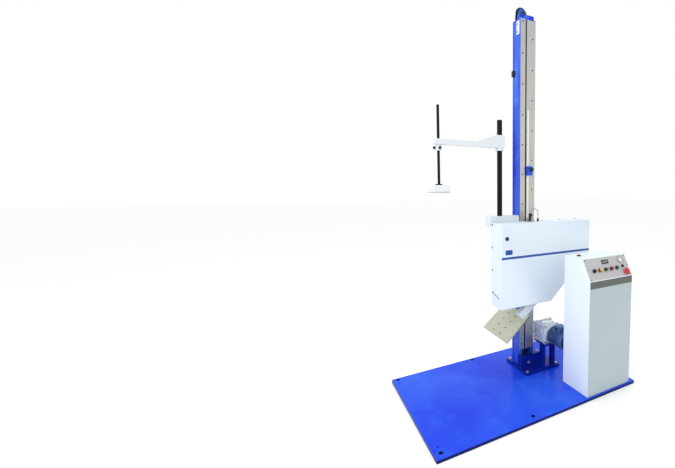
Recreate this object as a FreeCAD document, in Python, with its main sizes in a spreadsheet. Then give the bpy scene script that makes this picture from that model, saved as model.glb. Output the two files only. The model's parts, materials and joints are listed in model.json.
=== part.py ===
import FreeCAD
import Part
import Sketcher
import os
import re

# Free-fall package drop tester: a column on a base plate, a carriage that a chain lifts, a leaf
# that swings away under the parcel, a press pad on a post, and a control console.
# Frame: origin under the middle of the base plate, X along the plate, Y to the rear, Z up.

doc = FreeCAD.newDocument("dropTester")
sheet = doc.addObject("Spreadsheet::Sheet", "dims")
nodes = []

sizes = {
    # base plate
    "baseLength": 1700, "baseDepth": 1055, "baseThick": 22, "baseCorner": 6,
    "anchorDia": 30, "anchorSide": 45, "anchorFront": 50, "anchorRear": 27, "anchorMid": 717,
    "liftDia": 12, "liftPitch": 60,
    # foot flange, its bracket and bolts
    "footX": 305.5, "footY": 155.5, "footLength": 350, "footDepth": 330, "footThick": 21,
    "footInset": 24, "boltAcross": 24, "boltHead": 10, "washerDia": 30, "washerThick": 3,
    "bracketLength": 250, "bracketDepth": 64, "bracketHigh": 112, "bracketWall": 8,
    "bracketSet": 15, "bracketBoltFirst": 95.5, "bracketBoltPitch": 140, "bracketBoltUp": 45,
    # column, covers and rails
    "columnX": 225, "columnFront": 139.5, "columnWidth": 150, "columnDepth": 115, "columnTop": 2955,
    "columnWall": 6, "recessDeep": 5, "recessMargin": 14, "lipWide": 30,
    "slotWide": 12, "slotShift": 19, "coverThick": 2, "coverFoot": 190, "coverSide": 2,
    "screwPitch": 245, "screwInset": 24, "screwInsetRight": 30, "screwDrop": 20, "screwDia": 12,
    "screwHigh": 3,
    "railWide": 12, "railDeep": 14, "railSet": 23, "railFoot": 420, "railDrop": 75,
    "scaleShift": 7, "scaleWide": 14, "scaleDeep": 8, "scaleFoot": 1345, "scaleTop": 2240,
    # chain drive
    "wheelShift": 7, "wheelUp": 78, "chainHalf": 6, "chainWide": 16, "chainClear": 5, "chainRear": 6,
    "drivenGap": 23, "driveZ": 335, "shaftDia": 20, "shaftEnd": 4, "wheelTeeth": 18, "toothCut": 7,
    "toothClear": 0.6, "wheelWide": 10, "hubRadius": 17, "hubProud": 2, "bearingDia": 44, "bearingLong": 12,
    "runGap": 0.08,
    "capThick": 8, "cheekThick": 8, "cheekHigh": 104, "cheekHalf": 45, "cheekNeck": 20, "cheekGap": 6,
    "windowClear": 4, "boreClear": 2, "crossbarHigh": 30, "crossbarLong": 76, "crossbarSet": 12,
    "guardWide": 48, "guardHigh": 106, "guardThick": 4, "guardDrop": 8, "guardBolt": 14.4,
    "guardBoltDrop": 32, "guardBoltPitch": 58, "switchLong": 16, "switchWide": 22, "switchHigh": 46,
    "switchDrop": 435, "mountThick": 8, "leverReach": 10, "leverWide": 8, "leverFlat": 4,
    # geared motor
    "motorX": 400, "motorLong": 180, "motorRadius": 70, "finRadius": 76,
    "finThick": 4, "finPitch": 12, "adapterRadius": 80, "adapterLong": 30,
    "flangeSide": 166, "flangeThick": 14, "gearSide": 150, "gearLong": 108, "gearRear": 127.5,
    "plateThick": 12, "plateWide": 193, "standPlate": 10, "standWide": 170,
    "gearUnder": 10, "gearRound": 8, "flangeRound": 14, "bossRadius": 38, "bossLong": 14,
    "lidWide": 104, "lidLong": 76, "lidHigh": 8, "lidSet": 16, "ribWide": 5, "ribProud": 5,
    "ribInset": 6, "ribPitch": 78, "plateGap": 2, "plateUp": 20, "tableSet": 8, "legSpan": 115,
    "legSide": 6, "legSet": 8, "legDeep": 72, "cowlLong": 34, "cowlRound": 8, "finFirst": 44,
    "finLast": 16, "boxSet": 62, "boxSink": 6,
    "boxWide": 70, "boxLong": 80, "boxHigh": 42,
    # carriage
    "coverPast": 49, "coverRight": 782, "coverFront": -38.5, "coverGap": 10, "coverLow": 644,
    "coverHigh": 1320, "chamferStart": 358, "chamferEnd": 1025, "sheetWall": 2, "coverRound": 5,
    "coverLip": 18, "notchSpare": 15, "notchFront": 69.5, "coverBolt": 10, "coverBoltHigh": 3,
    "coverBoltDrop": 14, "coverBoltPitch": 182, "coverBoltSet": 22, "tabThick": 8, "tabInset": 20,
    "backFront": 74.5, "backThick": 10, "backInset": 8, "webThick": 10, "webLow": 790, "webHigh": 1180,
    "truckWide": 70, "truckDeep": 28, "truckSet": 17, "truckLow": 770, "truckHigh": 1200,
    "blockLong": 90, "blockWall": 8, "truckClear": 2, "clampReach": 20, "clampClear": 0.5,
    "runClear": 0.3, "clampLow": 940, "clampHigh": 1000,
    # swing arm, leaf and its cylinder
    "pivotSet": 231, "pivotZ": 1207, "swingRest": 39, "armFront": -7.5, "armThick": 50,
    "legHalf": 30, "leafDrop": 645, "armDeep": 70, "leafNear": 239, "leafLength": 290,
    "leafDepth": 400, "leafThick": 12, "leafFront": -37.5, "leafEdge": 1, "armSeat": 60,
    "tapDia": 8.5, "tapPitch": 63, "tapSpread": 106, "tapInset": 36, "armHub": 40, "armRound": 8,
    "pivotDia": 30, "pivotBoss": 46, "pivotGap": 2, "pivotNose": 12, "capDia": 30, "capHigh": 9,
    "capStem": 6, "capSpigot": 3, "capRound": 3,
    "leverHigh": 70, "leverThick": 16, "leverHalf": 15, "leverEnd": 7, "pinRadius": 6, "slotSpare": 1,
    "forkHalf": 12,
    "forkReach": 25, "forkThick": 7, "pistonLong": 150, "seatWide": 24, "seatHigh": 40, "seatInset": 12,
    "cylinderRound": 6, "cylinderEnd": 20,
    "cylinderSet": 151, "cylinderLong": 230, "cylinderDia": 50, "pistonDia": 16,
    # post, arm and press pad
    "postSet": 56, "postY": 172.5, "postDia": 42, "postTop": 2142, "postLow": 1284,
    "blockPast": 55, "blockGap": 10, "blockFront": 130.5, "blockDepth": 84, "blockTop": 1370,
    "blockRound": 4, "socketFoot": 10, "stayInset": 30, "stayHigh": 30,
    "armPast": 33, "armTip": 36, "armReach": 519, "armLow": 1918, "armHigh": 2020, "armSlim": 39,
    "armCheek": 7,
    "taperHigh": 42, "taperLow": 221, "beamRound": 5, "ringHigh": 20, "ringWall": 12,
    "rodDia": 20, "rodTop": 2203, "padTop": 1619, "padHigh": 50, "padSide": 126,
    "padFace": 6, "padRound": 3, "padFlange": 26, "flangeHigh": 8, "rodBevel": 2, "collarHigh": 46,
    "collarWall": 13, "thumbDrop": 26.7, "thumbDia": 20, "thumbLong": 14, "thumbStem": 8, "thumbGap": 0.3,
    # height stop
    "stopLow": 1704, "stopHigh": 1780, "stopDeep": 24, "stopWide": 48, "stopKnobDia": 34,
    "stopKnobLong": 17, "stopKnobZ": 1753, "stopKnobSet": 33, "stopJaw": 4, "stopRound": 3,
    "stopStem": 12, "knobRound": 3,
    # cable loop on the carriage
    "plugX": 208, "plugY": 62.5, "plugLow": 1362, "plugHigh": 1388, "plugSide": 22,
    "cableDia": 6, "cableLoop": 38, "glandDia": 18, "glandHigh": 24,
    # console
    "deskX": 342, "deskFront": -516.5, "deskWidth": 450, "deskDepth": 290, "panelFoot": 913,
    "panelTilt": 60.3, "panelLength": 180, "deskWall": 2, "deskRound": 4, "stripHigh": 54,
    "trimThick": 1.5, "trimSide": 1, "trimDrop": 2, "panelThick": 2, "panelInset": 5,
    "hatchLip": 18, "rearInset": 8, "rearTop": 10, "ventLong": 150, "ventUp": 120, "ventPitch": 14,
    "ventCount": 10, "rearScrewInset": 14, "rearScrewUp": 20,
    "buttonUp": 76, "buttonFirst": 71, "buttonPitch": 60, "buttonRadius": 10, "buttonHigh": 7,
    "bezelRadius": 14.5, "bezelHigh": 8, "buttonTravel": 4,
    "buttonRound": 1, "buttonGap": 0.5, "collarRadius": 12.4, "stemRadius": 7, "selectCollar": 12,
    "selectThick": 3, "drumHigh": 6, "gripWide": 5, "gripHigh": 14, "gripInset": 0.5,
    "selectX": 379, "selectUp": 84, "selectRadius": 8, "stopButtonX": 398, "stopButtonUp": 36,
    "stopButtonRadius": 20, "stopButtonHigh": 13, "stopButtonGap": 7, "stopTravel": 4,
    "displayX": 209, "displayUp": 137, "displayWide": 66, "displayHigh": 30, "displayProud": 6,
    "gaugeX": 376, "gaugeUp": 136, "gaugeRadius": 24, "gaugeProud": 10,
    "gaugeRim": 4, "gaugeSink": 3, "gaugeBevel": 2,
    "counterX": 70, "counterY": 203, "counterWide": 34, "counterDeep": 22, "counterHigh": 12,
    "panelScrew": 7, "panelScrewHigh": 2, "panelScrewInset": 12, "ventWide": 4,
    # gear inside the console
    "boardInset": 30, "boardSet": 200, "boardUp": 150, "boardHigh": 620, "boardThick": 3, "railBar": 12,
    "inverterX": 60, "inverterUp": 400, "inverterWide": 140, "inverterDeep": 130, "inverterHigh": 240,
    "relayX": 240, "relayUp": 480, "relayWide": 45, "relayPitch": 50, "relayDeep": 80, "relayHigh": 75,
}
for row, (alias, value) in enumerate(sizes.items(), 1):
    sheet.set(f"A{row}", alias)
    sheet.set(f"B{row}", str(value))
    sheet.setAlias(f"B{row}", alias)
doc.recompute()

# places and sizes that follow from the cells
worked = {
    "footTop": "baseThick + footThick",
    "columnLeft": "columnX - columnWidth / 2",
    "columnRight": "columnX + columnWidth / 2",
    "columnRear": "columnFront + columnDepth",
    "columnIn": "recessDeep + columnWall",
    "coverFace": "columnFront - coverThick",
    "slotLeft": "columnX - slotShift - slotWide / 2",
    "slotRight": "slotLeft + slotWide",
    "wheelZ": "columnTop + wheelUp",
    "chainX": "columnX - wheelShift",
    "chainY": "columnRear - columnWall - chainRear - chainWide / 2",
    "drivenY": "chainY - drivenGap",
    "pitchRadius": "columnWidth / 2 - columnIn - wheelShift - chainHalf - chainClear",
    "chainOuter": "pitchRadius + chainHalf",
    "chainInner": "pitchRadius - chainHalf",
    "railY": "columnFront + railSet",
    "scaleLeft": "columnX - scaleShift",
    "stopLeft": "scaleLeft - stopJaw",
    "adapterFront": "gearRear - gearLong - flangeThick - adapterLong",
    "motorFront": "adapterFront - motorLong",
    "standTop": "driveZ - gearSide / 2 - gearUnder",
    "coverRear": "coverFace - coverGap",
    "coverDeep": "coverRear - coverFront",
    "backRear": "backFront + backThick",
    "webLeft": "columnX - slotShift - webThick / 2",
    "notchLeft": "webLeft - notchSpare",
    "notchRight": "stopLeft + stopWide + notchSpare",
    "truckFront": "columnFront + truckSet",
    "truckRear": "truckFront + truckDeep",
    "armMiddle": "armFront + armThick / 2",
    "pivotX": "columnLeft - pivotSet",
    "coverLeft": "pivotX - coverPast",
    "cylinderX": "pivotX + cylinderSet",
    "blockLeft": "pivotX - blockPast",
    "blockRight": "columnLeft - blockGap",
    "postX": "pivotX + postSet",
    "rodX": "postX - armReach",
    "armRight": "postX + armPast",
    "armLeft": "rodX - armTip",
    "pinX": "pivotX - leverHigh * tan(swingRest / 2)",
    "pinZ": "pivotZ + leverHigh",
    "armWide": "postDia + 2 * armCheek",
    "ringDia": "postDia + 2 * ringWall",
    "collarDia": "rodDia + 2 * collarWall",
    "thumbZ": "armLow - thumbDrop",
    "deskRear": "deskFront + deskDepth",
    "deskTop": "panelFoot + panelLength * sin(panelTilt)",
}


def bind(text):
    """An expression with its worked values written out and the sheet's name before each cell."""
    def swap(word):
        if word[0] in worked:
            return f"({bind(worked[word[0]])})"
        return f"dims.{word[0]}" if word[0] in sizes else word[0]
    return re.sub(r"[A-Za-z]\w*", swap, text)


def size(text):
    result = sheet.evalExpression(bind(str(text)))
    return float(getattr(result, "Value", result))


def tie(obj, **properties):
    for name, text in properties.items():
        obj.setExpression(name.replace("_", "."), bind(str(text)))
    return obj


def place(obj, x, y, z):
    return tie(obj, Placement_Base_x=x, Placement_Base_y=y, Placement_Base_z=z)


def turn(obj, axis, angle):
    obj.Placement.Rotation = FreeCAD.Rotation(FreeCAD.Vector(*axis), size(angle))
    return obj


def node(obj, label):
    obj.Label = label
    nodes.append(obj)
    return obj


def box(name, low, span):
    made = doc.addObject("Part::Box", name)
    place(made, *low)
    return tie(made, Length=span[0], Width=span[1], Height=span[2])


def cylinder(name, low, radius, length, along="z"):
    made = doc.addObject("Part::Cylinder", name)
    if along == "x":
        turn(made, (0, 1, 0), 90)
    if along == "y":
        turn(made, (1, 0, 0), -90)
    place(made, *low)
    return tie(made, Radius=radius, Height=length)


def hexagon(name, low, across, length, along="z"):
    made = doc.addObject("Part::Prism", name)
    made.Polygon = 6
    if along == "x":
        turn(made, (0, 1, 0), 90)
    if along == "y":
        turn(made, (1, 0, 0), -90)
    place(made, *low)
    return tie(made, Circumradius=f"({across}) / 2 / cos(30)", Height=length)


def fuse(name, *pieces):
    made = doc.addObject("Part::MultiFuse", name)
    made.Shapes = list(pieces)
    made.Refine = True
    return made


def group(name, *pieces):
    made = doc.addObject("Part::Compound", name)
    made.Links = list(pieces)
    return made


def cut(name, base, *tools):
    made = doc.addObject("Part::Cut", name)
    made.Base = base
    made.Tool = tools[0] if len(tools) == 1 else group(name + "Tools", *tools)
    made.Refine = True
    return made


def sketchOn(body, role, points, name):
    """A closed outline whose corners are held by dimensions tied to the sheet."""
    sketch = body.newObject("Sketcher::SketchObject", name)
    plane = next(item for item in body.Origin.OriginFeatures if item.Role == role)
    sketch.AttachmentSupport = [(plane, "")]
    sketch.MapMode = "FlatFace"
    corners = [FreeCAD.Vector(size(a), size(b), 0) for a, b in points]
    count = len(corners)
    for i in range(count):
        sketch.addGeometry(Part.LineSegment(corners[i], corners[(i + 1) % count]), False)
    for i in range(count):
        sketch.addConstraint(Sketcher.Constraint("Coincident", i, 2, (i + 1) % count, 1))
    for i, (a, b) in enumerate(points):
        for kind, text, value in (("DistanceX", a, corners[i].x), ("DistanceY", b, corners[i].y)):
            number = sketch.addConstraint(Sketcher.Constraint(kind, -1, 1, i, 1, value))
            sketch.setExpression(f"Constraints[{number}]", bind(text))
    return sketch


def extrude(name, role, points, length, low=("0", "0", "0"), round_edges=None, radius=None):
    """A padded outline. XZ outlines grow towards -Y, YZ outlines towards +X, XY ones upwards."""
    body = doc.addObject("PartDesign::Body", name)
    sketch = sketchOn(body, role, points, name + "Sketch")
    pad = body.newObject("PartDesign::Pad", name + "Pad")
    pad.Profile = sketch
    tie(pad, Length=length)
    place(body, *low)
    if round_edges:
        doc.recompute()
        edges = [f"Edge{i}" for i, edge in enumerate(pad.Shape.Edges, 1) if round_edges(edge)]
        rounding = body.newObject("PartDesign::Fillet", name + "Round")
        rounding.Base = (pad, edges)
        tie(rounding, Radius=radius)
    return body


def turned(name, points, low, axis=None, angle=0):
    """An outline of (radius, height) points turned about its own Z axis."""
    body = doc.addObject("PartDesign::Body", name)
    sketch = sketchOn(body, "XZ_Plane", points, name + "Sketch")
    spin = body.newObject("PartDesign::Revolution", name + "Spin")
    spin.Profile = sketch
    spin.ReferenceAxis = (sketch, ["V_Axis"])
    spin.Angle = 360
    if axis:
        turn(body, axis, angle)
    place(body, *low)
    return body


def runsAlong(direction):
    def test(edge):
        way = edge.tangentAt(edge.FirstParameter)
        return abs(abs(way.dot(FreeCAD.Vector(*direction))) - 1) < 1e-6
    return test


def allEdges(edge):
    return True


def stadium(name, x1, x2, z1, z2, radius, y, width):
    """A loop's outer shape: two round ends joined by straight sides, along X or along Z."""
    ends = [cylinder(f"{name}End{i}", (x, y, z), radius, width, "y") for i,
            (x, z) in enumerate(((x1, z1), (x2, z2)))]
    if x1 == x2:
        middle = box(name + "Middle", (f"{x1} - {radius}", y, z1), (f"2 * {radius}", width, f"{z2} - {z1}"))
    else:
        middle = box(name + "Middle", (x1, y, f"{z1} - {radius}"), (f"{x2} - {x1}", width, f"2 * {radius}"))
    return fuse(name, middle, *ends)


def panelPoint(x, up, out="0"):
    """A place on the sloping panel: across, up its slope and out from it."""
    y = f"deskFront + ({up}) * cos(panelTilt) - ({out}) * sin(panelTilt)"
    z = f"panelFoot + ({up}) * sin(panelTilt) + ({out}) * cos(panelTilt)"
    return f"deskX + {x}", y, z


def onPanel(obj, x, up, out="0"):
    turn(obj, (1, 0, 0), "panelTilt")
    tie(obj, Placement_Rotation_Angle="panelTilt")
    return place(obj, *panelPoint(x, up, out))


def makeBase():
    half = "baseLength / 2"
    deep = "baseDepth / 2"
    plate = extrude("basePlateBody", "XY_Plane",
                    [(f"-{half}", f"-{deep}"), (half, f"-{deep}"), (half, deep), (f"-{half}", deep)],
                    "baseThick", round_edges=runsAlong((0, 0, 1)), radius="baseCorner")
    holes = []
    columns = (f"-{half} + anchorSide", f"-{half} + anchorMid", f"{half} - anchorSide")
    rows = ((f"-{deep} + anchorFront", 1), (f"{deep} - anchorRear", -1))
    for i, x in enumerate(columns):
        for j, (y, side) in enumerate(rows):
            holes.append(cylinder(f"anchorHole{i}{j}", (x, y, "-1"), "anchorDia / 2", "baseThick + 2"))
            if i == 1:
                continue
            holes.append(cylinder(f"liftHole{i}{j}", (x, f"{y} + {side} * liftPitch", "-1"),
                                  "liftDia / 2", "baseThick + 2"))
    node(cut("basePlate", plate, *holes), "base_plate")


def footBoltPlaces():
    dx = "(footLength / 2 - footInset)"
    dy = "(footDepth / 2 - footInset)"
    return [(f"footX {a} {dx}", f"footY {b} {dy}") for a in "-+" for b in "-+"]


def makeFoot():
    flange = box("footFlange", ("footX - footLength / 2", "footY - footDepth / 2", "baseThick"),
                 ("footLength", "footDepth", "footThick"))
    left = "columnLeft - bracketSet"
    front = "columnFront - bracketDepth"
    shell = box("bracketOuter", (left, front, "footTop"), ("bracketLength", "bracketDepth", "bracketHigh"))
    hollow = box("bracketInner", (f"{left} + bracketWall", f"{front} + bracketWall",
                                  "footTop + bracketWall"),
                 ("bracketLength - 2 * bracketWall", "bracketDepth - bracketWall", "bracketHigh"))
    bracket = cut("footBracket", shell, hollow)
    node(fuse("columnFoot", flange, bracket), "column_foot")


def makeFrameBolts():
    made = []
    for i, (x, y) in enumerate(footBoltPlaces()):
        washer = cylinder(f"footWasher{i}", (x, y, "footTop"), "washerDia / 2", "washerThick")
        head = hexagon(f"footHead{i}", (x, y, "footTop + washerThick"), "boltAcross", "boltHead")
        made.append(fuse(f"footBolt{i}", washer, head))
    front = "columnFront - bracketDepth"
    for i in range(2):
        x = f"footX - bracketBoltFirst + {i} * bracketBoltPitch"
        place_at = (x, f"{front} - washerThick", "footTop + bracketBoltUp")
        washer = cylinder(f"bracketWasher{i}", place_at, "washerDia / 2", "washerThick", "y")
        head = hexagon(f"bracketHead{i}", (x, f"{front} - washerThick - boltHead",
                                           "footTop + bracketBoltUp"),
                       "boltAcross", "boltHead", "y")
        made.append(fuse(f"bracketBolt{i}", washer, head))
    for i in range(2):
        z = f"columnTop - guardBoltDrop - {i} * guardBoltPitch"
        made.append(hexagon(f"guardBolt{i}",
                            ("columnLeft + recessDeep - guardThick - boltHead",
                             "columnFront + recessMargin + guardWide - boltAcross / 2", z),
                            "guardBolt", "boltHead", "x"))
    node(group("frameBolts", *made), "frame_bolts")


def makeColumn():
    left, right, front, rear = "columnLeft", "columnRight", "columnFront", "columnRear"
    a, b = "recessDeep", "recessMargin"
    wall = "columnIn"
    points = [
        (left, front), (f"{left} + lipWide", front), (f"{left} + lipWide", f"{front} + columnWall"),
        (f"{left} + {wall}", f"{front} + columnWall"), (f"{left} + {wall}", f"{rear} - columnWall"),
        (f"{right} - {wall}", f"{rear} - columnWall"), (f"{right} - {wall}", f"{front} + columnWall"),
        (f"{right} - lipWide", f"{front} + columnWall"), (f"{right} - lipWide", front), (right, front),
        (right, f"{front} + {b}"), (f"{right} - {a}", f"{front} + {b}"),
        (f"{right} - {a}", f"{rear} - {b}"), (right, f"{rear} - {b}"), (right, rear), (left, rear),
        (left, f"{rear} - {b}"), (f"{left} + {a}", f"{rear} - {b}"),
        (f"{left} + {a}", f"{front} + {b}"), (left, f"{front} + {b}"),
    ]
    channel = extrude("columnBody", "XY_Plane", points, "columnTop - footTop", ("0", "0", "footTop"))
    window = box("driveWindow", (f"{right} - {wall} - 1", "drivenY - chainWide",
                                 "driveZ - chainOuter - windowClear"),
                 (f"{wall} + 2", "2 * chainWide", "2 * chainOuter + 2 * windowClear"))
    shaft = cylinder("rearShaftHole", ("chainX", f"{rear} - columnWall - 1", "driveZ"),
                     "shaftDia / 2 + boreClear", "columnWall + 2", "y")
    node(cut("columnChannel", channel, window, shaft), "column")


def makeCovers():
    tall = "columnTop - coverFoot"
    left = box("coverLeftStrip", ("columnLeft + coverSide", "coverFace", "coverFoot"),
               ("slotLeft - columnLeft - coverSide", "coverThick", tall))
    right = box("coverRightStrip", ("slotRight", "coverFace", "coverFoot"),
                ("columnRight - coverSide - slotRight", "coverThick", tall))
    node(group("columnCovers", left, right), "column_covers")
    screws = []
    count = int(size(tall) // size("screwPitch"))
    for i in range(count + 1):
        z = f"columnTop - screwDrop - {i} * screwPitch"
        screws.append(cylinder(f"screwLeft{i}", ("columnLeft + screwInset", "coverFace - screwHigh", z),
                               "screwDia / 2", "screwHigh", "y"))
        if i < count:
            lower = f"{z} - screwPitch / 2"
            screws.append(cylinder(f"screwRight{i}",
                                   ("columnRight - screwInsetRight", "coverFace - screwHigh", lower),
                                   "screwDia / 2", "screwHigh", "y"))
    node(group("coverScrews", *screws), "cover_screws")
    scale = box("scaleBar", ("scaleLeft", "coverFace - scaleDeep", "scaleFoot"),
                ("scaleWide", "scaleDeep", "scaleTop - scaleFoot"))
    node(scale, "height_scale")
    made = []
    for name, x in (("Left", "columnLeft + columnIn"), ("Right", "columnRight - columnIn - railWide")):
        made.append(box("rail" + name, (x, "railY", "railFoot"),
                        ("railWide", "railDeep", "columnTop - railDrop - railFoot")))
    node(group("guideRails", *made), "guide_rails")


def makeTop():
    cap = box("capPlate", ("columnLeft", "columnFront", "columnTop"),
              ("columnWidth", "columnDepth", "capThick"))
    opening = box("capOpening",
                  ("chainX - chainOuter - windowClear", "chainY - chainWide / 2 - windowClear",
                   "columnTop - 1"),
                  ("2 * chainOuter + 2 * windowClear", "chainWide + 2 * windowClear", "capThick + 2"))
    foot = "columnTop + capThick"
    top = f"{foot} + cheekHigh"
    outline = [
        ("chainX - cheekHalf", foot), ("chainX + cheekHalf", foot),
        ("chainX + cheekHalf", f"{foot} + cheekHigh / 4"), ("chainX + cheekNeck", top),
        ("chainX - cheekNeck", top), ("chainX - cheekHalf", f"{foot} + cheekHigh / 2"),
    ]
    cheeks = []
    front = "chainY - chainWide / 2 - cheekGap"
    rear = "chainY + chainWide / 2 + cheekGap + cheekThick"
    for name, y in (("Front", front), ("Rear", rear)):
        cheek = extrude("cheek" + name, "XZ_Plane", outline, "cheekThick", ("0", y, "0"))
        bore = cylinder("cheekBore" + name, ("chainX", f"{y} - cheekThick - 1", "wheelZ"),
                        "shaftDia / 2 + boreClear", "cheekThick + 2", "y")
        cheeks.append(cut("cheekCut" + name, cheek, bore))
    bar = box("crossbar", ("chainX - crossbarSet", "columnFront", foot),
              ("crossbarLong", f"{front} - cheekThick - columnFront", "crossbarHigh"))
    node(fuse("wheelBracket", cut("capCut", cap, opening), bar, *cheeks), "wheel_bracket")
    guard = box("chainGuard", ("columnLeft + recessDeep - guardThick", "columnFront + recessMargin",
                               "columnTop - guardDrop - guardHigh"),
                               ("guardThick", "guardWide", "guardHigh"))
    node(guard, "chain_guard")
    left = "columnLeft - switchLong"
    rear = "columnRear - recessMargin"
    low = "columnTop - switchDrop"
    switch = box("switchBox", (left, f"{rear} - switchWide", low),
                 ("switchLong - 0.5", "switchWide", "switchHigh"))
    lever = box("switchLever", (f"{left} - leverReach", f"{rear} - switchWide + leverWide",
                                f"{low} + 0.6 * switchHigh"),
                ("leverReach", "leverWide", "leverFlat"))
    body = box("switchMount", (left, rear, low), ("switchLong", "mountThick", "switchHigh"))
    node(fuse("limitSwitch", switch, lever, body), "upper_limit_switch")


def bearing(name, x, y, z):
    ring = cylinder(name + "Ring", (x, y, z), "bearingDia / 2", "bearingLong", "y")
    bore = cylinder(name + "Bore", (x, f"{y} - 1", z), "shaftDia / 2 + runGap", "bearingLong + 2", "y")
    return cut(name, ring, bore)


def makeBearings():
    front = "chainY - chainWide / 2 - cheekGap - cheekThick - bearingLong"
    rear = "chainY + chainWide / 2 + cheekGap + cheekThick"
    top = [bearing("topFrontBearing", "chainX", front, "wheelZ"), bearing("topRearBearing", "chainX", rear,
                                                                          "wheelZ")]
    low = bearing("lowRearBearing", "chainX", "columnRear", "driveZ")
    cross = box("crossBearing",
                ("columnLeft + columnIn", "drivenY - chainWide / 2 - cheekGap - bearingLong",
                                 "driveZ - bearingDia / 2"),
                ("columnWidth - 2 * columnIn", "bearingLong", "bearingDia"))
    bore = cylinder("crossBore", ("chainX", "drivenY - chainWide / 2 - cheekGap - bearingLong - 1",
                                  "driveZ"),
                    "shaftDia / 2 + runGap", "bearingLong + 2", "y")
    node(group("shaftBearings", *top, low, cut("crossCut", cross, bore)), "shaft_bearings")


def chainWheel(name, x, y, z):
    """A toothed disc and its hub, centred on the chain's middle plane."""
    teeth = int(size("wheelTeeth"))
    disc = cylinder(name + "Disc", (x, f"{y} - wheelWide / 2", z), "chainInner - toothClear", "wheelWide",
                    "y")
    cutters = []
    for i in range(teeth):
        angle = i * 360 / teeth
        cutters.append(cylinder(f"{name}Gap{i}",
                                (f"{x} + pitchRadius * cos({angle})", f"{y} - wheelWide",
                                 f"{z} + pitchRadius * sin({angle})"),
                                "toothCut", "2 * wheelWide", "y"))
    hub = cylinder(name + "Hub", (x, f"{y} - chainWide / 2 - hubProud", z), "hubRadius",
                   "chainWide + 2 * hubProud", "y")
    return fuse(name, cut(name + "Teeth", disc, *cutters), hub)


def makeWheels():
    start = "chainY - chainWide / 2 - cheekGap - cheekThick - bearingLong - shaftEnd"
    end = "chainY + chainWide / 2 + cheekGap + cheekThick + bearingLong + shaftEnd"
    shaft = cylinder("topShaft", ("chainX", start, "wheelZ"), "shaftDia / 2", f"{end} - ({start})", "y")
    node(fuse("topWheel", chainWheel("topDisc", "chainX", "chainY", "wheelZ"), shaft), "top_wheel")
    start = "drivenY - chainWide / 2 - cheekGap - bearingLong - shaftEnd"
    end = "columnRear + bearingLong + shaftEnd"
    shaft = cylinder("lowShaft", ("chainX", start, "driveZ"), "shaftDia / 2", f"{end} - ({start})", "y")
    node(fuse("lowerShaft", chainWheel("liftDisc", "chainX", "chainY", "driveZ"),
              chainWheel("drivenDisc", "chainX", "drivenY", "driveZ"), shaft), "lower_shaft")
    start = "gearRear + plateThick"
    shaft = cylinder("outputShaft", ("motorX", f"{start} + runClear", "driveZ"), "shaftDia / 2",
                     f"drivenY + chainWide / 2 + cheekGap - ({start})", "y")
    node(fuse("motorWheel", chainWheel("motorDisc", "motorX", "drivenY", "driveZ"), shaft), "motor_wheel")


def makeChains():
    y = "chainY - chainWide / 2"
    outer = stadium("liftOuter", "chainX", "chainX", "driveZ", "wheelZ", "chainOuter", y, "chainWide")
    inner = stadium("liftInner", "chainX", "chainX", "driveZ", "wheelZ", "chainInner", f"{y} - 1",
                    "chainWide + 2")
    node(cut("liftChain", outer, inner), "lift_chain")
    y = "drivenY - chainWide / 2"
    outer = stadium("driveOuter", "chainX", "motorX", "driveZ", "driveZ", "chainOuter", y, "chainWide")
    inner = stadium("driveInner", "chainX", "motorX", "driveZ", "driveZ", "chainInner", f"{y} - 1",
                    "chainWide + 2")
    node(cut("driveChain", outer, inner), "drive_chain")


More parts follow.
